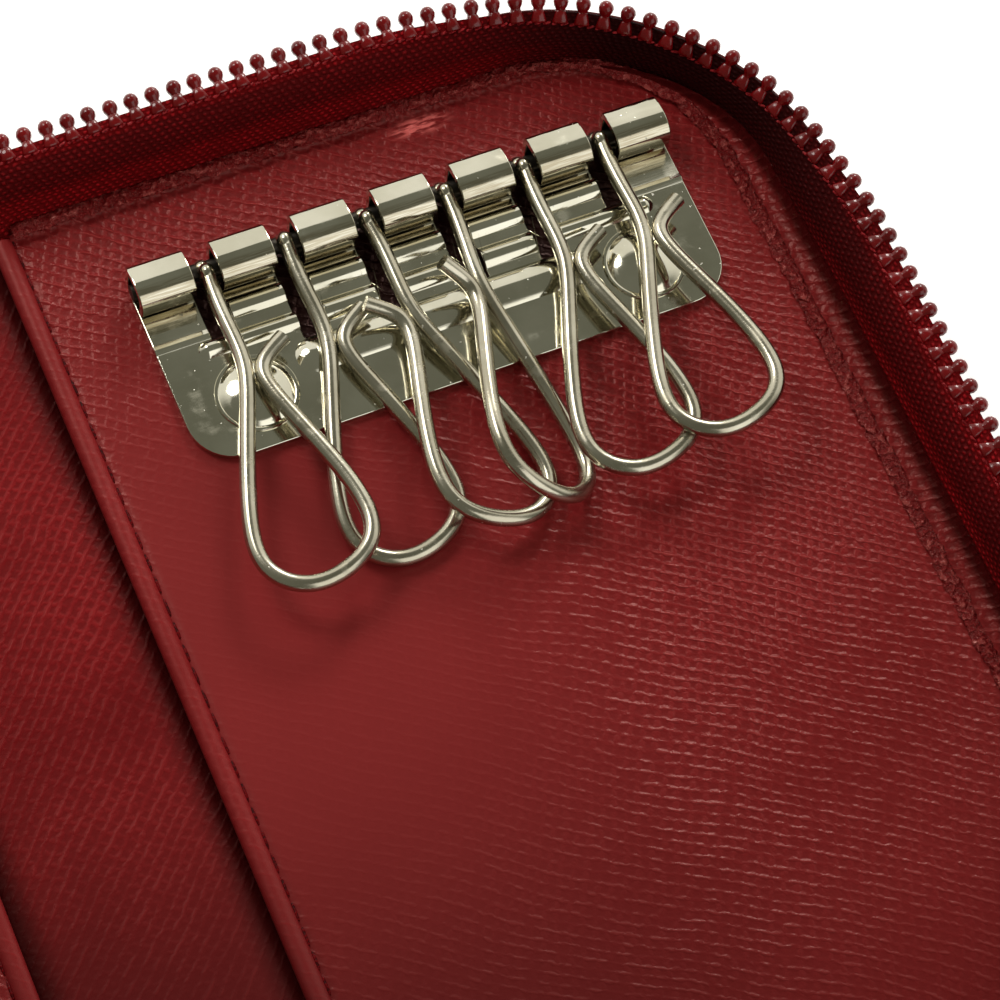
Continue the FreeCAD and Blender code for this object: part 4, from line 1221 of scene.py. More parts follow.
@dataclass
class LeatherShell:
    """Outer leather, linings, turned edges, folds and sewing of the case, in millimetres."""

    seam: SeamLine = SEAM
    cover_margin: float = 2.0
    cover_rounding: float = 0.4
    spine_sheet: float = 0.8
    spine_sag: float = 0.3
    fold_start: float = 7.2
    fold_end: float = 13.6
    fold_steps: int = 14
    fold_sheet: float = 0.5
    fold_dip: float = 1.1
    fold_overlap: float = 0.5
    outer_bend: Spot = (8.2, 12.4)
    inner_bend: Spot = (8.2, 11.6)
    lining_sheet: float = 0.3
    panel_steps: int = 26
    edge_flat: float = -1.7
    turn_up_end: float = 0.9
    turn_up_side: float = 2.5
    turn_angle: float = 78.0
    turn_steps: int = 8
    corner_tuck: float = 0.3
    strip_inset: float = 0.9
    ridge_inset: float = 2.3
    ridge_offset: float = -0.45
    ridge_drift: float = -1.95
    ridge_foot: float = 0.08
    ridge_lift: float = 0.7
    ridge_width: float = 0.85
    ridge_height: float = 0.3
    ridge_wander: float = 0.3
    ridge_ruffle: Spot = (0.3, 0.16)
    ridge_around: int = 10
    stitch_length: float = 2.0
    thread_radius: float = 0.17

    # Rows of stitches: inset of their ends, place, level and spacing
    strip_row: tuple[float, float, float, float] = (1.0, 2.14, 2.84, 2.6)
    edge_row: tuple[float, float, float, float] = (4.0, -1.6, 0.06, 3.0)

    # Sections near the spine edge: distance from that edge and level
    strip_section: tuple[Spot, ...] = ((0.6, 1.6), (0.12, 1.8), (-0.14, 2.3), (-0.12, 2.9), (0.1, 3.34),
                                       (0.5, 3.58), (1.0, 3.62), (1.5, 3.5), (1.85, 3.22), (2.05, 2.9),
                                       (2.12, 2.6))
    panel_start: tuple[Spot, ...] = ((1.9, 2.7), (2.14, 2.78), (2.4, 2.92), (2.8, 3.0), (3.4, 3.0))

    def build(self) -> None:
        """Build all leather pieces."""
        self.spine()
        for half in Half:
            self.cover(half)
            self.folds(half)
            self.lining(half)
            self.strip(half)
            self.ridge(half)
            self.sewing(half)

    def sheet(self, name: str, columns: Sequence[Spot], length: float, rows: int, thickness: float,
              half: Half = Half.RIGHT) -> Piece:
        """Sheet with one section all along the spine's direction.

        Args:
            name: name of the sheet.
            columns: distance across and level of each column.
            length: length of the sheet.
            rows: number of steps along it.
            thickness: thickness below the section.
            half: half that it is turned onto.

        Returns:
            The closed sheet.
        """
        points = []
        for row in range(rows + 1):
            along = length * (row / rows - 0.5)
            points.extend(half.place((x, along, z)) for x, z in columns)
        return thicken(face_up(mesh_object(name, points, grid(rows + 1, len(columns)))), thickness)

    def spine(self) -> None:
        """Outer leather and lining of the spine between the folds."""
        length = 2 * self.seam.half_length
        flat = [(x, COVER_TOP) for x in (-self.fold_start, 0.0, self.fold_start)]
        cover = self.sheet("spine_cover", flat, length + 2 * self.cover_margin, 40, COVER_TOP)
        hand_over(face_outward(cover), OUTER, "spine", "outer_spine")
        across = [step * self.fold_start / 8 for step in range(-8, 9)]
        arched = [(x, LINING_TOP - self.spine_sag * (x / self.fold_start) ** 2) for x in across]
        lining = self.sheet("spine_lining_sheet", arched, length, 40, self.spine_sheet)
        hand_over(face_outward(lining), SPINE_LINING, "spine", "spine_lining")

    def folds(self, half: Half) -> None:
        """Leather across the fold between the spine and one half, outside and inside.

        Args:
            half: half that it leads to.
        """
        length = 2 * self.seam.half_length
        start, steps = self.fold_start, self.fold_steps
        flat = [(start + (self.fold_end - start) * step / steps, COVER_TOP) for step in range(steps + 1)]
        outer = self.sheet(f"outer_fold_{half.value}", flat, length + 2 * self.cover_margin, 30, COVER_TOP,
                           half)
        hand_over_fold(face_outward(outer), OUTER, half, *self.outer_bend)
        edge = self.seam.near_x + self.fold_overlap
        level = LINING_TOP - self.spine_sag
        dip = [(start + (edge - start) * step / steps, level - self.fold_dip * (step / steps) ** 1.3)
               for step in range(steps + 1)]
        inner = self.sheet(f"inner_fold_{half.value}", dip, length, 30, self.fold_sheet, half)
        hand_over_fold(face_outward(inner), SPINE_LINING, half, *self.inner_bend)

    def cover(self, half: Half) -> None:
        """Outer leather of one half, with rounded edges.

        Args:
            half: half that it covers.
        """
        far, reach = self.seam.far_x + self.cover_margin, self.seam.half_length + self.cover_margin
        radius = self.seam.corner + self.cover_margin
        outline = rounded_outline(((self.fold_end, -reach, 0), (far, -reach, radius), (far, reach, radius),
                                   (self.fold_end, reach, 0)), steps=20)
        plate = stamped(f"cover_leather_{half.value}", [outline], 0.0, COVER_TOP, self.cover_rounding,
                        Matrix.Rotation(0 if half is Half.RIGHT else math.pi, 4, "Z"))
        hand_over(plate, OUTER, half.body, f"outer_cover_{half.value}")

    def lining(self, half: Half) -> None:
        """Lining of one half: a soft panel whose edges turn up the wall.

        Args:
            half: half that it lines.
        """
        ends = self.seam.stations(self.edge_flat, straight=1, bend=12, side=26)[1:-1]
        start = self.seam.near_x + self.panel_start[-1][0]
        points: list[Point] = []
        for (x_end, y), _ in ends:
            points.extend((self.seam.near_x + away, y, level) for away, level in self.panel_start)
            for step in range(1, self.panel_steps + 1):
                x = start + (x_end - start) * step / self.panel_steps
                points.append((x, y, LINING_TOP + self.swell(x, y)))
        rows, count = len(ends), len(self.panel_start) + self.panel_steps
        faces = grid(rows, count)
        first, last = caps(rows, count)
        rim = [*first, *(row * count + count - 1 for row in range(1, rows - 1)), *last]
        outs = [(0.0, 1.0)] * (count - 1) + [out for _, out in ends] + [(0.0, -1.0)] * (count - 1)
        self.raise_rim(points, faces, rim, outs)
        placed = [half.place(point) for point in points]
        panel = thicken(face_up(mesh_object(f"lining_{half.value}", placed, faces)), self.lining_sheet)
        hand_over(face_outward(panel, 50.0), LINING, half.body, f"lining_panel_{half.value}")

    def raise_rim(self, points: list[Point], faces: list[Face], rim: list[int], outs: list[Spot]) -> None:
        """Turn the lining's edge up against the wall, more along the free side than at the ends.

        Args:
            points: points of the panel, extended here.
            faces: faces of the panel, extended here.
            rim: numbers of the panel's edge points in order.
            outs: outward direction at each of them.
        """
        before = rim
        for angle in arc(0.0, self.turn_angle, self.turn_steps)[1:]:
            row = []
            for number, (nx, ny) in zip(rim, outs):
                x, y, z = points[number]
                radius = self.turn_up_end + (self.turn_up_side - self.turn_up_end) * nx * nx
                out, up = radius * math.sin(angle), radius * (1 - math.cos(angle))
                out *= 1 - self.corner_tuck * self.seam.corner_share((x, y), (nx, ny))
                row.append(len(points))
                points.append((x + nx * out, y + ny * out, z + up))
            faces.extend((before[i], before[i + 1], row[i + 1], row[i]) for i in range(len(row) - 1))
            before = row

    def swell(self, x: float, y: float) -> float:
        """Slight unevenness of the panel where it lies over its board."""
        broad, fine = noise.noise(Vector((x / 21, y / 26, 0.7))), noise.noise(Vector((x / 7, y / 8, 4.1)))
        return 0.16 * broad + 0.05 * fine

    def strip(self, half: Half) -> None:
        """Turned strip along the spine side of one half's lining.

        Args:
            half: half that it lies on.
        """
        columns = [(self.seam.near_x + away, level) for away, level in self.strip_section]
        length = 2 * (self.seam.half_length - self.strip_inset)
        strip = self.sheet(f"turned_strip_{half.value}", columns, length, 60, self.lining_sheet, half)
        hand_over(face_outward(strip, 60.0), EDGE, half.body)

    def ridge(self, half: Half) -> None:
        """Crumpled bead of leather along the seam.

        Args:
            half: half that it lies on.
        """
        stations = self.seam.stations(self.ridge_offset, self.ridge_inset, self.ridge_inset, straight=230,
                                      bend=110, side=300)
        rows, around = len(stations), self.ridge_around
        points: list[Point] = []
        for (x, y), (nx, ny) in stations:
            wander = self.ridge_wander * noise.noise(Vector((x * 0.3, y * 0.3, 9.0)))
            drift = self.ridge_drift * nx ** 4 + wander
            lift = self.ridge_foot + self.ridge_lift * (1 - nx ** 4)
            for step in range(around):
                angle = math.tau * step / around
                broad = noise.noise(Vector((x * 0.9, y * 0.9, step * 0.9)))
                shake = broad + 0.8 * noise.noise(Vector((x * 2.3, y * 2.3, step * 1.7)))
                across = drift + (self.ridge_width + self.ridge_ruffle[0] * shake) * math.cos(angle)
                up = lift + (self.ridge_height + self.ridge_ruffle[1] * shake) * math.sin(angle)
                points.append(half.place((x + nx * across, y + ny * across, LINING_TOP + up)))
        faces = grid(rows, around, ring=True) + caps(rows, around)
        bead = mesh_object(f"seam_ridge_{half.value}", points, faces)
        hand_over(face_outward(bead, 60.0), CRUMPLED, half.body)

    def sewing(self, half: Half) -> None:
        """Thread along the turned strip and near the outer edge.

        Args:
            half: half that is sewn.
        """
        pattern = stitch(self.stitch_length, self.thread_radius)
        inset, away, level, spacing = self.strip_row
        length = self.seam.half_length - inset
        line = [half.place((self.seam.near_x + away, y, level)) for y in (length, -length)]
        strip = PathRow.lay(f"strip_stitches_{half.value}", line, pattern, spacing, THREAD, wobble=4.0)
        hand_over(strip, THREAD, half.body)
        inset, away, level, spacing = self.edge_row
        path = self.seam.path(self.cover_margin + away, level, half, inset)
        outer = PathRow.lay(f"edge_stitches_{half.value}", path, pattern, spacing, THREAD, wobble=3.0, seed=5)
        hand_over(outer, THREAD, half.body)
        bpy.data.objects.remove(pattern)


@dataclass
class ZipTape:
    """Tape wall, teeth and stops round each half, in millimetres."""

    # Steps along the bend, the wall, the flare and the free edge of the tape's section
    BEND_STEPS, WALL_STEPS, FLARE_STEPS, EDGE_STEPS = 6, 5, 9, 2

    seam: SeamLine = SEAM
    thickness: float = 0.75
    base_rise: float = 0.4
    bend_radius: float = 1.0
    wall_angle: float = 80.0
    wall_straight: float = 3.888
    flare_radius: float = 4.0
    flare_angle: float = 15.0
    seam_gap: float = 0.1
    flange: float = 3.5
    inset_far: float = 0.4
    inset_near: float = 7.0
    edge_reach: float = 4.664
    overhang: float = 0.85
    lead: float = 0.76
    pitch: float = 2.35
    jaw_back: float = 0.25
    jaw_front: float = 1.3
    jaw_width: float = 1.5
    jaw_thickness: float = 1.9
    jaw_edge: float = 0.22
    neck_radius: float = 0.56
    reach: float = 2.02
    ball_radius: float = 0.86
    foot_start: Spot = (-1.2, 2.85)
    foot_radius: float = 2.0
    foot_angle: float = 75.0
    foot_end: Spot = (1.3, 5.75)
    foot_under: Spot = (0.25, -0.2)
    stop_length: float = 2.0
    stop_corners: Spot = (0.4, 0.6)
    stop_trim: float = 0.2
    stop_rounding: float = 0.3

    # Width and thickness of the jaws behind and in front, as shares of their usual size
    jaw_root: Spot = (1.2, 0.86)
    jaw_tip: Spot = (0.66, 0.6)

    # Chain stitches: length, radius, slant in degrees, spacing, inset of the row's ends, rise over the tape
    chain_length: float = 0.9
    chain_radius: float = 0.15
    chain_lean: float = 18.0
    chain_spacing: float = 0.95
    chain_inset: float = 0.8
    chain_rise: float = 0.03

    # Change at a corner's middle, where the free edge has no fullness to flare: wall and flare turn in and
    # the wall sinks; between the teeth of the free side the tape stands out further
    lean_wall: float = 24.0
    lean_flare: float = 45.0
    lean_sink: float = 2.79
    lean_foot: float = 1.03
    side_fill: float = 0.75

    def build(self) -> None:
        """Build tape, teeth and stops of both halves."""
        pattern = self.tooth()
        for half in Half:
            insets = (self.inset_far, self.inset_near)
            first, last = insets if half is Half.RIGHT else insets[::-1]
            tape = self.sweep(f"tape_{half.value}", self.section, half, first, last)
            hand_over(tape, TAPE, half.body, f"zip_tape_{half.value}")
            stop = self.stop_length + self.pitch
            ahead, behind = (stop - self.lead, self.pitch) if half is Half.RIGHT else (self.pitch, stop)
            path, tilts = self.edge_line(half, first + ahead, last + behind)
            teeth = PathRow.lay(f"teeth_{half.value}", path, pattern, self.pitch, TOOTH, wobble=3.0, seed=7,
                                tilts=tilts)
            hand_over(teeth, TOOTH, half.body, f"zip_teeth_{half.value}")
            foot = self.sweep(f"tape_foot_{half.value}", self.foot_section, half, first, last)
            hand_over(foot, TAPE, half.body)
            self.chain_stitches(half, first, last)
            self.top_stop(half)
        bpy.data.objects.remove(pattern)

    def edge_line(self, half: Half, first: float, last: float, on_face: bool = False
                  ) -> tuple[list[Point], list[float]]:
        """Line along the tape's free edge.

        Args:
            half: half that carries the tape.
            first: distance of the first end from the spine edge.
            last: distance of the last end from the spine edge.
            on_face: whether the line runs on the tape's inner face, just behind the teeth.

        Returns:
            Points of the line, and how far the tape is turned up at each, in radians.
        """
        points, tilts = [], []
        for (x, y), out in self.seam.stations(0.0, first, last, straight=36, bend=24, side=36):
            share = self.seam.corner_share((x, y), out)
            middle = self.middle_line(share)
            flare_end = len(middle) - 1 - self.EDGE_STEPS
            reach, level, _ = middle[flare_end]
            if on_face:
                behind, ahead = self.section(share)[flare_end - 1:flare_end + 1]
                reach, level = (behind[0] + ahead[0]) / 2, (behind[1] + ahead[1]) / 2 + self.chain_rise
            points.append(half.place((x + out[0] * reach, y + out[1] * reach, level)))
            tilts.append(math.radians(self.lean_flare) * share)
        return points, tilts

    def middle_line(self, share: float = 0.0, side: float = 0.0) -> list[Point]:
        """Middle of the tape's section.

        Args:
            share: how far into a corner the section is.
            side: how far it is on the free side, where the tape stands out between the teeth.

        Returns:
            Distance outside the seam, level and direction in degrees of each point.
        """
        base = COVER_TOP + self.base_rise
        line = [(-self.flange, base, 0.0), (self.seam_gap, base, 0.0)]
        upright, flare = self.wall_angle + self.lean_wall * share, self.flare_angle + self.lean_flare * share
        for angle in arc(0.0, upright, self.BEND_STEPS)[1:]:
            line.append((self.seam_gap + self.bend_radius * math.sin(angle),
                         base + self.bend_radius * (1 - math.cos(angle)), math.degrees(angle)))
        wall = self.wall_straight - self.lean_sink * share
        curve = self.flare_radius * math.radians(self.wall_angle - self.flare_angle)
        edge = self.overhang + self.side_fill * side
        runs = [(upright, wall / self.WALL_STEPS)] * self.WALL_STEPS
        runs += [(upright + (flare - upright) * (step + 0.5) / self.FLARE_STEPS, curve / self.FLARE_STEPS)
                 for step in range(self.FLARE_STEPS)]
        runs += [(flare, edge / self.EDGE_STEPS)] * self.EDGE_STEPS
        for degrees, length in runs:
            x, z, _ = line[-1]
            angle = math.radians(degrees)
            line.append((x + length * math.cos(angle), z + length * math.sin(angle), degrees))
        return line

    def section(self, share: float = 0.0, side: float = 0.0) -> list[Point]:
        """Closed section of the tape: distance outside the seam, level and map position across.

        Args:
            share: how far into a corner the section is.
            side: how far it is on the free side.

        Returns:
            Its points, up the inner face and down the outer one.
        """
        inner, outer = [], []
        length = 0.0
        line = self.middle_line(share, side)
        for index, (x, z, degrees) in enumerate(line):
            if index:
                length += math.hypot(x - line[index - 1][0], z - line[index - 1][1])
            angle = math.radians(degrees)
            across = (-math.sin(angle) * self.thickness / 2, math.cos(angle) * self.thickness / 2)
            inner.append((x + across[0], z + across[1], length))
            outer.append((x - across[0], z - across[1], 2 * TAPE.inner - length))
        return inner + outer[::-1]

    def foot_section(self, share: float, side: float) -> list[Point]:
        """Closed section of the tape's foot: distance outside the seam, level and map position across.

        Args:
            share: how far into a corner the section is.
            side: how far it is on the free side, which changes nothing here.

        Returns:
            Its points, out along the upper face and back along the lower one.
        """
        start, base = self.foot_start
        line = [(start + self.foot_radius * math.sin(angle), base + self.foot_radius * (1 - math.cos(angle)))
                for angle in arc(0.0, self.foot_angle, 8)]
        line.append(self.foot_end)
        height = self.foot_end[1] - base
        leaning = [(d - self.lean_foot * share * (z - base) / height, z) for d, z in line]
        travel = [0.0]
        for (d, z), (d_after, z_after) in zip(line, line[1:]):
            travel.append(travel[-1] + math.hypot(d_after - d, z_after - z))
        upper = [(d, z, v) for (d, z), v in zip(leaning, travel)]
        lower = [(d + self.foot_under[0], z + self.foot_under[1], v) for d, z, v in upper]
        return upper + lower[::-1]

    def sweep(self, name: str, form: Callable[[float, float], list[Point]], half: Half, first: float,
              last: float) -> Piece:
        """Carry a closed section round the seam.

        Args:
            name: name of the swept piece.
            form: gives the section for a share of corner and of free side.
            half: half that it stands on.
            first: distance of its first end from the spine edge.
            last: distance of its last end from the spine edge.

        Returns:
            The closed piece, with a map in millimetres.
        """
        stations = self.seam.stations(0.0, first, last, straight=40, bend=26, side=46)
        points: list[Point] = []
        uvs: list[Spot] = []
        travel = 0.0
        for index, (spot, out) in enumerate(stations):
            if index:
                before, before_out = stations[index - 1]
                turn = math.hypot(out[0] - before_out[0], out[1] - before_out[1])
                travel += math.hypot(spot[0] - before[0], spot[1] - before[1]) + self.edge_reach / 2 * turn
            section = form(self.seam.corner_share(spot, out), out[0])
            for reach, level, across in section:
                points.append(half.place((spot[0] + out[0] * reach, spot[1] + out[1] * reach, level)))
                uvs.append((travel, across))
        rows, count = len(stations), len(section)
        faces = grid(rows, count, ring=True) + caps(rows, count)
        return face_outward(mesh_object(name, points, faces, uvs))

    def chain_stitches(self, half: Half, first: float, last: float) -> None:
        """Row of fine stitches that ties the teeth to the tape.

        Args:
            half: half that carries the tape.
            first: distance of the tape's first end from the spine edge.
            last: distance of the tape's last end from the spine edge.
        """
        pattern = stitch(self.chain_length, self.chain_radius, self.chain_lean)
        path, tilts = self.edge_line(half, first + self.chain_inset, last + self.chain_inset, on_face=True)
        row = PathRow.lay(f"chain_stitches_{half.value}", path, pattern, self.chain_spacing, CHAIN_THREAD,
                          wobble=6.0, seed=9, tilts=tilts)
        hand_over(row, CHAIN_THREAD, half.body)
        bpy.data.objects.remove(pattern)

    def tooth(self) -> Piece:
        """One tooth: jaws that clamp the tape's edge, a neck and a ball head, tilted as the tape is.

        Returns:
            Pattern object for a row of teeth.
        """
        points = []
        for y, (wide, thick) in ((-self.jaw_back, self.jaw_root), (self.jaw_front, self.jaw_tip)):
            x, z = wide * self.jaw_width / 2, thick * self.jaw_thickness / 2
            points += [(-x, y, -z), (x, y, -z), (x, y, z), (-x, y, z)]
        jaw = mesh_object("jaw", points, caps(2, 4) + grid(2, 4, ring=True))
        jaw = soften(face_outward(jaw), self.jaw_edge)

        # The neck starts inside the jaws and runs into the lower part of the ball
        ball, reach = self.ball_radius, self.reach
        profile = [(self.neck_radius, self.jaw_front * 0.5), (self.neck_radius, reach - ball * 0.82)]
        for step in range(1, 6):
            angle = math.pi * (0.19 + 0.81 * step / 5)
            profile.append((ball * math.sin(angle), reach - ball * math.cos(angle)))
        head = lathe("head", profile, 9)
        head.data.transform(Matrix.Rotation(-math.pi / 2, 4, "X"))
        pattern = join("tooth", (jaw, head))
        pattern.data.transform(Matrix.Rotation(math.radians(self.flare_angle), 4, "X"))
        return face_outward(pattern, 50.0)

    def top_stop(self, half: Half) -> None:
        """Folded metal stop at the tape's far end, with rounded edges.

        Args:
            half: half that carries the tape.
        """
        node = f"zip_top_stop_{half.value}"
        low, high = node_box(node)
        outline = box_outline(low, high, *self.stop_corners, 5)
        stop = stamped(f"top_stop_{half.value}", [outline], low.z + self.stop_trim, high.z - self.stop_trim,
                       self.stop_rounding)
        hand_over(stop, TOOTH, half.body, node)


@dataclass
class ZipTail:
    """Tail of the zip with its closed chain, slider, pull and leather tab, in millimetres."""

    half_width: float = 7.0
    chain_half: float = 2.4
    chain_cover: float = 0.6
    strip_gap: float = 0.05
    thickness: float = 0.75
    near_y: float = -52.0
    flat_y: float = -61.0
    ramp_y: float = -65.0
    far_y: float = -86.0
    low_level: float = 1.6
    high_level: float = 2.6
    tooth_pitch: float = 2.35
    tooth_width: float = 1.1
    tooth_run: Spot = (-2.4, 1.0)
    tooth_half_height: float = 0.95
    tooth_inset: float = 0.55
    stop_corner: float = 0.4
    tab_corners: Spot = (3.0, 0.6)
    tab_rounding: float = 0.7
    tab_seam: float = 1.2
    slider_y: float = -69.25
    shoulder_y: float = -68.5
    wing: float = 0.9
    wing_gap: float = 1.9
    arch_height: float = 7.25
    arch_half: float = 2.5
    arch_bar: float = 0.9
    pull_tip: float = 2.2
    pull_neck: float = 2.4
    window_half: float = 1.3
    hole_radius: float = 1.1

    def build(self) -> None:
        """Build the tail's pieces."""
        self.tape()
        self.chain()
        self.bottom_stop()
        self.tab()
        self.slider()
        self.pull()

    def level(self, y: float) -> float:
        """Level of the tape's middle at a place along the tail."""
        share = min(max((self.flat_y - y) / (self.flat_y - self.ramp_y), 0.0), 1.0)
        return self.low_level + (self.high_level - self.low_level) * share * share * (3 - 2 * share)

    def tape(self) -> None:
        """Two woven strips that run out side by side under the slider."""
        steps = 44
        strips = []
        for side in (-1, 1):
            points, uvs = [], []
            for step in range(steps + 1):
                y = self.near_y + (self.far_y - self.near_y) * step / steps
                gap = self.strip_gap if y > self.ramp_y else self.chain_half - self.chain_cover
                for x, lift in ((gap, -0.5), (gap, 0.5), (self.half_width, 0.5), (self.half_width, -0.5)):
                    points.append((side * x, y, self.level(y) + lift * self.thickness))
                    uvs.append((-y, x))
            faces = grid(steps + 1, 4, ring=True) + caps(steps + 1, 4)
            strips.append(face_outward(mesh_object("strip", points, faces, uvs)))
        hand_over(join("tail_tape", strips), TAPE, "spine", "zip_tail_tape")

    def chain(self) -> None:
        """Closed teeth between slider and bottom stop, three on each side."""
        low, high = node_box("zip_tail_teeth")
        level, width = (low.z + high.z) / 2, self.tooth_width
        outline = box_outline((-width / 2, self.tooth_run[0]), (width / 2, self.tooth_run[1]), 0.3, 0.5)
        rows = []
        for turn, lag in ((math.pi, 0.0), (0.0, self.tooth_pitch / 2)):
            bar = stamped("bar", [outline], -self.tooth_half_height, self.tooth_half_height, 0.25)
            bar.data.transform(Matrix.Rotation(turn, 4, "Z"))

            # The line is a trifle longer than two pitches, so that the third tooth is never lost
            start = high.y - self.tooth_inset - lag
            line = [(0, start + 0.01, level), (0, start - 2 * self.tooth_pitch, level)]
            rows.append(PathRow.lay("row", line, bar, self.tooth_pitch, TOOTH))
            bpy.data.objects.remove(bar)
        hand_over(face_outward(join("tail_chain", rows)), TOOTH, "spine", "zip_tail_teeth")

    def bottom_stop(self) -> None:
        """Metal stop at the end of the closed teeth."""
        low, high = node_box("zip_bottom_stop")
        outline = box_outline(low, high, self.stop_corner, self.stop_corner)
        stop = stamped("bottom_stop", [outline], low.z, high.z, 0.3)
        hand_over(stop, NICKEL, "spine", "zip_bottom_stop")

    def tab(self) -> None:
        """Folded leather tab, sewn round its edge."""
        low, high = node_box("zip_end_tab")
        outline = box_outline(low, high, *self.tab_corners, 8)
        plate = stamped("end_tab", [outline], low.z, high.z, self.tab_rounding)
        hand_over(plate, OUTER, "spine", "zip_end_tab")
        x, near, far = high.x - self.tab_seam, high.y - self.tab_seam, low.y + self.tab_seam
        loop = rounded_outline(((-x, near, 0.3), (-x, far, 2.0), (x, far, 2.0), (x, near, 0.3)), 6)
        pattern = stitch(1.5, 0.16)
        rows = [PathRow.lay("tab_row", [(*spot, level) for spot in loop + loop[:1]], pattern, 1.95, THREAD)
                for level in (high.z, low.z)]
        bpy.data.objects.remove(pattern)
        hand_over(join("tab_stitches", rows), THREAD, "spine")

    def slider(self) -> None:
        """Slider with two shield-shaped wings, a wedge between them and an arch."""
        low, high = node_box("zip_slider")
        wing = self.wing
        base = low.z + 2 * wing + self.wing_gap
        shield = rounded_outline(mirrored(((3.0, low.y, 1.6), (high.x, self.shoulder_y, 2.2),
                                           (high.x, high.y, 2.0))), 6)
        pieces = [stamped("wing", [shield], level, level + wing, 0.28) for level in (low.z, base - wing)]
        wedge = rounded_outline(((-1.0, high.y, 0.3), (0.0, high.y - 2.4, 0.3), (1.0, high.y, 0.3)), 4)
        pieces.append(stamped("wedge", [wedge], low.z + wing - 0.2, base - wing + 0.2, 0.05))
        near, far = self.slider_y - self.arch_half, self.slider_y + self.arch_half
        foot, top, bar = base - 0.3, self.arch_height, self.arch_bar
        arch = rounded_outline(((near, foot, 0), (near + bar, foot, 0), (near + bar, top - bar, 0.9),
                                (far - bar, top - bar, 0.9), (far - bar, foot, 0), (far, foot, 0),
                                (far, top, 1.6), (near, top, 1.6)), 6)
        pieces.append(stamped("arch", [arch], -0.9, 0.9, 0.25, UPRIGHT))
        hand_over(join("slider", pieces), NICKEL, "spine", "zip_slider")

    def pull(self) -> None:
        """Pull plate with a window for the arch, a cross bar and a hole at its end."""
        low, high = node_box("zip_pull")
        outline = rounded_outline(mirrored((
            (self.pull_tip, low.y, 1.3), (high.x, low.y + 7.0, 2.0), (self.pull_neck, high.y - 4.6, 1.5),
            (high.x, high.y - 2.6, 0.8), (high.x, high.y, 0.7))), 6)
        window = box_outline((-self.window_half, high.y - 4.1), (self.window_half, high.y - 0.4), 0.5, 0.4)
        hole = ring(0, low.y + 2.6, self.hole_radius)
        plate = stamped("plate", [outline, window, hole], low.z, high.z, 0.3)
        bar = lathe("bar", ((0.0, -2.0), (0.5, -2.0), (0.5, 2.0), (0.0, 2.0)), 20,
                    (0, self.slider_y, (low.z + high.z) / 2), along_x=True)
        hand_over(join("pull_tab", (plate, bar)), NICKEL, "zip_pull", "zip_pull")


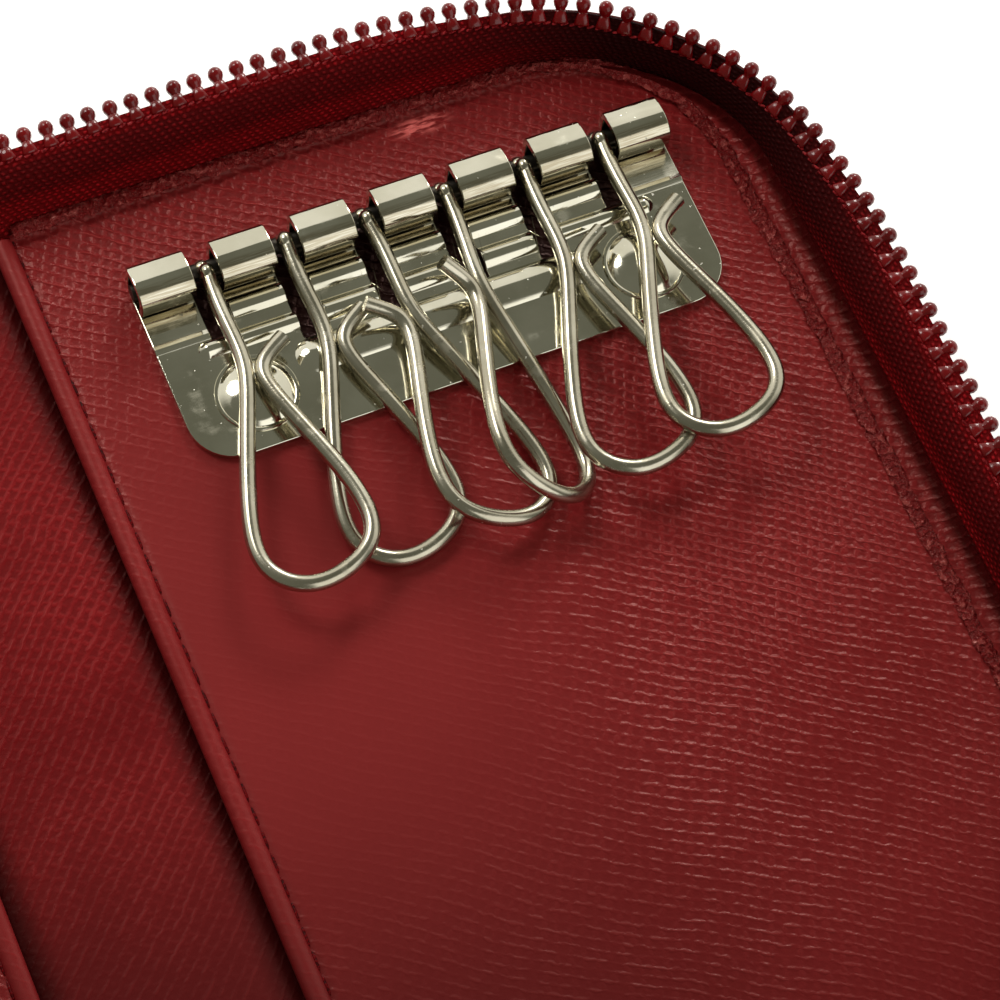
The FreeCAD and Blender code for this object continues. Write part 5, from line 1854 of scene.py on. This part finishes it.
@dataclass
class KeyPlate:
    """Stamped plate with curled knuckles, ribs, pressed beads, rod and rivets, in millimetres."""

    left: float = 22.95
    rod_y: float = 45.8
    length: float = 60.1
    depth: float = 21.2
    sheet: float = 0.8
    edge: float = 0.12
    pitch: float = 9.0
    knuckle: float = 6.1
    knuckle_overlap: float = 0.3
    count: int = 7
    curl_radius: float = 2.8
    curl_start: Spot = (-2.55, 1.274)

    # Outer arcs of the flattened roll: first and last direction of its face in degrees, radius, straight run
    curl_arcs: tuple[tuple[float, float, float, float], ...] = (
        (-150.0, -90.0, 1.3, 1.33), (-90.0, -60.0, 0.9, 0.0), (-60.0, -30.0, 2.0, 0.0),
        (-30.0, 6.0, 2.6, 0.0), (6.0, 22.0, 7.0, 0.0), (22.0, 90.0, 1.1, 1.76), (90.0, 180.0, 2.0, 0.0))
    corner: float = 5.0
    outer_slot: float = 7.4
    inner_slot: float = 11.0
    rivet_inset: float = 8.1
    rivet_drop: float = 15.0

    # Pressed beads: rise, steps up and round them, middle line and half width of each, insets of their ends
    bead_rise: float = 0.68
    bead_sink: float = 0.02
    bead_loops: int = 9
    bead_steps: int = 12
    rib: Spot = (-4.85, 1.05)
    rib_step: float = 0.15
    upper_bead: Spot = (-8.5, 1.1)
    lower_bead: Spot = (-12.9, 2.1)
    upper_inset: float = 5.3
    lower_inset: float = 15.4

    # Place and rise of the low rib on the first and the last knuckle
    end_rib: tuple[Spot, ...] = ((-5.4, 0.0), (-6.3, 0.05), (-6.8, 0.25), (-7.2, 0.05), (-7.35, 0.0))

    # Radius and height of a rivet's flange and dome
    rivet_section: tuple[Spot, ...] = (
        (0.0, 0.7), (4.2, 0.7), (4.38, 0.8), (4.42, 0.92), (4.34, 1.04), (4.1, 1.06), (3.98, 1.02),
        (3.9, 1.06), (3.6, 1.3), (3.2, 1.5), (2.6, 1.72), (2.0, 1.88), (1.3, 2.0), (0.6, 2.05), (0.0, 2.06))

    @property
    def deep_slot(self) -> Spot:
        """Where the deeper cut under the inner knuckles starts and ends along the plate."""
        return self.pitch + self.knuckle, (self.count - 2) * self.pitch

    def build(self) -> None:
        """Build plate, beads, rivets and rod."""
        near, far = self.deep_slot
        pieces = [self.finger(index) for index in range(self.count)]
        pieces.append(self.base())
        pieces.append(self.bead(self.upper_bead, self.upper_inset, near, round_right=False))
        pieces.append(self.bead(self.upper_bead, far, self.length - self.upper_inset, round_left=False))
        pieces.append(self.bead(self.lower_bead, self.lower_inset, self.length - self.lower_inset))
        plate = join("plate", pieces)
        plate.data.transform(Matrix.Translation(Vector((self.left, self.rod_y, LINING_TOP)) * MM))
        plate.data.set_sharp_from_angle(angle=math.radians(13))
        hand_over(plate, NICKEL, "right_half", "key_plate")
        self.rivets()
        dress(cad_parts["hinge_rod"], ROD)

    def bulge(self, away: float, half_width: float) -> float:
        """Rise of a pressed bead at a distance from its middle line."""
        share = min(abs(away) / half_width, 1.0)
        return self.bead_rise * (1 - share * share)

    def bead(self, line: Spot, left: float, right: float, round_left: bool = True,
             round_right: bool = True) -> Piece:
        """Pressed strengthening bead along the plate.

        Args:
            line: place of its middle line and its half width.
            left: start of its straight run.
            right: end of its straight run.
            round_left: whether its left end is rounded, or cut off by a slot.
            round_right: whether its right end is rounded.

        Returns:
            The bead as a closed mesh, with its foot inside the sheet.
        """
        middle, half_width = line
        ends = ((right, arc(90.0, -90.0, self.bead_steps), round_right),
                (left, arc(-90.0, -270.0, self.bead_steps), round_left))
        points: list[Point] = []
        for loop in range(self.bead_loops + 1):
            away = half_width * (1 - loop / self.bead_loops)
            level = self.sheet - self.bead_sink + self.bulge(away, half_width)
            for place, angles, rounded in ends:
                for angle in angles:
                    bend = away * math.cos(angle) if rounded else 0.0
                    points.append((place + bend, middle + away * math.sin(angle), level))
        rows, count = self.bead_loops + 1, 2 * (self.bead_steps + 1)
        faces = grid(rows, count, ring=True) + caps(rows, count)[:1]
        return face_outward(mesh_object("bead", points, faces))

    def finger(self, index: int) -> Piece:
        """One knuckle: the sheet from the plate's body over a rib and round the curl.

        Args:
            index: number of the knuckle from the left.

        Returns:
            The knuckle in the plate's own place.
        """
        half = self.sheet / 2
        middle = self.curl(half)
        over_deep_slot = 1 < index < self.count - 2
        drop = self.inner_slot if over_deep_slot else self.outer_slot
        if 0 < index < self.count - 1:
            humps = [self.rib, self.upper_bead] if over_deep_slot else [self.rib]
            for step in range(1, int((drop - self.curl_radius) / self.rib_step) + 1):
                y = -self.curl_radius - self.rib_step * step
                middle.append((y, half + sum(self.bulge(y - place, wide) for place, wide in humps)))
        else:
            middle += [(y, half + rise) for y, rise in self.end_rib]
        middle.append((-drop - self.knuckle_overlap, half))
        start = index * self.pitch
        return stamped("finger", [self.band(middle, half)], start, start + self.knuckle, self.edge, UPRIGHT)

    def curl(self, half: float) -> list[Spot]:
        """Middle line of the rolled sheet, from its free edge over the top to the plate.

        Args:
            half: half of the sheet's thickness.

        Returns:
            Distance from the rod and level of each point.
        """
        y, z = self.curl_start
        line: list[Spot] = []
        joined = 0
        for first, last, radius, straight in self.curl_arcs:
            turn = math.radians(first)
            middle_y, middle_z = y - radius * math.sin(turn), z - radius * math.cos(turn)
            inner = radius - half
            for angle in arc(first, last, max(int((last - first) / 6), 1))[joined:]:
                line.append((middle_y + inner * math.sin(angle), middle_z + inner * math.cos(angle)))
            y = middle_y + radius * math.sin(angle) + straight * math.cos(angle)
            z = middle_z + radius * math.cos(angle) - straight * math.sin(angle)
            joined = 0 if straight else 1
        return line

    @staticmethod
    def band(middle: Sequence[Spot], half: float) -> list[Spot]:
        """Outline of a strip of even thickness about a middle line.

        Args:
            middle: points of the middle line.
            half: half of the strip's thickness.

        Returns:
            Points along one face and back along the other.
        """
        first, second = [], []
        for index, (x, y) in enumerate(middle):
            before = Vector(middle[max(index - 1, 0)])
            after = Vector(middle[min(index + 1, len(middle) - 1)])
            heading = (after - before).normalized()
            first.append((x - heading.y * half, y + heading.x * half))
            second.append((x + heading.y * half, y - heading.x * half))
        return first + second[::-1]

    def base(self) -> Piece:
        """Flat body of the plate, cut deeper under the inner knuckles and rounded at its lower corners.

        Returns:
            The body in the plate's own place.
        """
        near, far = self.deep_slot
        outer, inner, length = -self.outer_slot, -self.inner_slot, self.length
        outline = rounded_outline((
            (0, outer, 0), (0, -self.depth, self.corner), (length, -self.depth, self.corner),
            (length, outer, 0), (far, outer, 0.3), (far, inner, 0.6), (near, inner, 0.6),
            (near, outer, 0.3)), 10)
        return stamped("body", [outline], 0.0, self.sheet, self.edge)

    def rivets(self) -> None:
        """Two domed rivets with a flat flange."""
        y = self.rod_y - self.rivet_drop
        made = [lathe("rivet", self.rivet_section, 56, (self.left + x, y, LINING_TOP))
                for x in (self.rivet_inset, self.length - self.rivet_inset)]
        hand_over(join("rivet_heads", made), NICKEL, "right_half", "plate_rivets")


@dataclass(frozen=True)
class HookPose:
    """How one hook hangs: turned over or not, angles in degrees and drop below the rod in millimetres."""

    turned: bool
    yaw: float
    pitch: float
    roll: float
    drop: float


@dataclass
class SpringHooks:
    """Six spring wire hooks on the rod, in millimetres."""

    plate: KeyPlate
    wire: float = 0.88
    wire_level: float = 3.0
    rod_level: float = 1.7
    gap_shift: float = 0.38
    eye_radius: float = 1.15
    eye_half_width: float = 0.9
    eye_shift: float = -0.1
    cap_radius: float = 1.2
    cap_half_width: float = 0.95
    cap_place: Point = (0.0, 0.45, -0.1)

    # Control points of the wire's line, across and down from the rod
    form: tuple[Spot, ...] = ((0.0, 0.0), (-0.2, -4.0), (1.0, -10.3), (-0.6, -15.4), (-4.3, -27.0),
                              (-5.4, -34.0), (-1.3, -37.5), (3.6, -36.7), (8.1, -33.4), (6.4, -25.5),
                              (2.6, -16.2), (1.3, -11.7), (3.4, -10.3), (5.2, -9.1))
    poses: tuple[HookPose, ...] = (
        HookPose(False, -4.1, -2.0, -1.4, -1.67),
        HookPose(False, -2.3, 3.1, 1.1, -0.95),
        HookPose(True, 3.6, 0.9, 17.6, -1.58),
        HookPose(True, -3.2, -0.5, 39.3, -1.38),
        HookPose(False, -4.4, -1.6, -0.1, -1.47),
        HookPose(False, -3.9, -4.2, -1.9, -1.24),
    )

    def build(self) -> None:
        """Build each hook on its own body."""
        for number, pose in enumerate(self.poses, start=1):
            self.hook(number, pose)

    def hook(self, number: int, pose: HookPose) -> None:
        """Bend one hook's wire, close its eye round the rod and cap the wire's upper end.

        Args:
            number: number of the hook from the left.
            pose: how it hangs.
        """
        pitch, knuckle = self.plate.pitch, self.plate.knuckle
        gap = knuckle + (pitch - knuckle) / 2 + (number - 1) * pitch
        head = Vector((self.plate.left + gap + self.gap_shift, self.plate.rod_y, LINING_TOP))
        start = head + Vector((0, pose.drop, self.wire_level))
        turn = Matrix.Identity(3)
        for axis, degrees in zip("ZXY", (pose.yaw, pose.pitch, pose.roll)):
            turn = turn @ Matrix.Rotation(math.radians(degrees), 3, axis)
        side = -1.0 if pose.turned else 1.0
        wire = [start + turn @ Vector((side * x, y, 0)) for x, y in self.form]
        shaft = tube(f"wire_{number}", wire, self.wire)
        bore, wide = self.eye_radius, self.eye_half_width
        rim = [(bore - wide * (1 - math.cos(angle)), wide * math.sin(angle)) for angle in arc(-90.0, 90.0, 8)]
        eye_place = head + Vector((self.eye_shift, 0, self.rod_level))
        eye = lathe("eye", rim + rim[:1], 32, eye_place, along_x=True)
        dome = [(self.cap_radius * math.cos(angle), self.cap_half_width * math.sin(angle))
                for angle in arc(-90.0, 90.0, 12)]
        cap = lathe("cap", dome, 24, start + Vector(self.cap_place), along_x=True)
        hook = join(f"hook_{number}_wire", (shaft, eye, cap))
        hand_over(hook, SPRING, f"hook_{number}", f"key_hook_{number}")


@dataclass
class Boards:
    """Card inside the spine and the halves, kept from the solids."""

    nodes: tuple[str, ...] = ("spine_board", "backing_board_right", "backing_board_left")

    def build(self) -> None:
        """Give the kept boards their finish."""
        for name in self.nodes:
            dress(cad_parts[name], BOARD)
            LOG.info("%s: kept", name)


@dataclass(frozen=True)
class Lamp:
    """A soft round lamp: place, target and width in millimetres, power in watts."""

    name: str
    place: Point
    target: Point
    width: float
    power: float
    colour: Point = (1.0, 0.97, 0.92)

    def build(self) -> None:
        """Hang the lamp, turned to its target and hidden from the camera."""
        light = bpy.data.lights.new(self.name, "AREA")
        light.shape = "DISK"
        light.size = self.width * MM
        light.energy = self.power
        light.color = self.colour
        made = new_object(self.name, light)
        spot = Vector(self.place) * MM
        made.location = spot
        made.visible_camera = False
        made.rotation_euler = (Vector(self.target) * MM - spot).to_track_quat("-Z", "Y").to_euler()


@dataclass
class Studio:
    """Pale floor, room light and a camera at the photograph's angle; in millimetres and degrees."""

    azimuth: float = -32.61
    elevation: float = 63.57
    roll: float = -10.46
    lens: float = 129.6
    sensor: float = 36.0
    aim: Point = (49.86, 10.92, 3.0)
    distance: float = 367.86
    lamps: tuple[Lamp, ...] = (Lamp("side_lamp", (444, 584, 387), (60, 0, 3), 180, 1.55),
                               Lamp("back_lamp", (-62, 252, 269), (60, 50, 3), 130, 0.4))
    floor_reach: float = 3000.0
    floor_level: float = -0.15
    floor_tone: Colour = (0.93, 0.93, 0.92, 1.0)
    floor_glow: float = 0.5
    ceiling: Colour = (0.17, 0.17, 0.135, 1.0)
    wall: Colour = (0.98, 0.95, 0.86, 1.0)
    window: Colour = (1.45, 1.42, 1.34, 1.0)
    wall_heading: Point = (0.45, 0.89, 0.0)
    window_heading: Point = (0.25, -0.97, 0.0)
    window_middle: float = 0.24

    def build(self) -> None:
        """Set up floor, sky, lamps and camera."""
        self.floor()
        self.sky()
        for lamp in self.lamps:
            lamp.build()
        self.camera()
        view = bpy.context.scene.view_settings
        view.view_transform = "Standard"
        view.look = "None"

    def floor(self) -> None:
        """Wide pale floor just under the case."""
        reach, level = self.floor_reach, self.floor_level
        ground = mesh_object("floor", [(-reach, -reach, level), (reach, -reach, level), (reach, reach, level),
                                       (-reach, reach, level)], [(0, 1, 2, 3)])
        paint = bpy.data.materials.new("pale_floor")
        paint.use_nodes = True
        shader = paint.node_tree.nodes["Principled BSDF"]
        shader.inputs["Base Color"].default_value = self.floor_tone
        shader.inputs["Roughness"].default_value = 0.9
        shader.inputs["Emission Color"].default_value = (1.0, 1.0, 1.0, 1.0)
        shader.inputs["Emission Strength"].default_value = self.floor_glow
        ground.data.materials.append(paint)

    def sky(self) -> None:
        """Room light: a bright warm wall behind the case, a window in front, dim and olive overhead."""
        world = bpy.data.worlds.new("room")
        bpy.context.scene.world = world
        world.use_nodes = True
        writer = NodeWriter(world.node_tree)
        backdrop = world.node_tree.nodes["Background"]
        heading = writer.add("ShaderNodeTexCoord").outputs["Generated"]
        across, _, up = writer.parts(heading)
        back = writer.vector("DOT_PRODUCT", heading, self.wall_heading).outputs["Value"]
        wall = writer.times(writer.span(back, -0.15, 0.4), writer.span(up, 0.775, 0.81, 1.0, 0.0))
        front = writer.vector("DOT_PRODUCT", heading, self.window_heading).outputs["Value"]
        aside = writer.math("ABSOLUTE", writer.math("SUBTRACT", across, self.window_middle))
        window = writer.times(writer.span(front, 0.3, 0.6), writer.span(aside, 0.3, 0.45, 1.0, 0.0),
                              writer.span(up, 0.8, 0.86, 1.0, 0.0))
        colour = writer.mix(window, writer.mix(wall, self.ceiling, self.wall), self.window)
        writer.tree.links.new(colour, backdrop.inputs["Color"])
        backdrop.inputs["Strength"].default_value = 1.0

    def camera(self) -> None:
        """Place the camera at the photograph's angle, with its roll."""
        turn, lift, roll = (math.radians(angle) for angle in (self.azimuth, self.elevation, self.roll))
        ahead = Vector((-math.sin(turn) * math.cos(lift), math.cos(turn) * math.cos(lift), -math.sin(lift)))
        right = ahead.cross(Vector((0, 0, 1))).normalized()
        down = ahead.cross(right)
        across = right * math.cos(roll) + down * math.sin(roll)
        upward = right * math.sin(roll) - down * math.cos(roll)
        data = bpy.data.cameras.new("camera")
        data.lens = self.lens
        data.sensor_width = self.sensor
        data.clip_start = 0.01
        data.clip_end = 20.0
        made = new_object("camera", data)
        place = (Vector(self.aim) - ahead * self.distance) * MM
        made.matrix_world = Matrix.Translation(place) @ Matrix((across, upward, -ahead)).transposed().to_4x4()
        bpy.context.scene.camera = made


def main() -> None:
    """Build the case piece by piece, then the studio."""
    logging.basicConfig(level=logging.INFO, format="%(name)s: %(message)s")
    LeatherShell().build()
    ZipTape().build()
    ZipTail().build()
    plate = KeyPlate()
    plate.build()
    SpringHooks(plate).build()
    Boards().build()
    Studio().build()


if __name__ == "__main__":
    main()
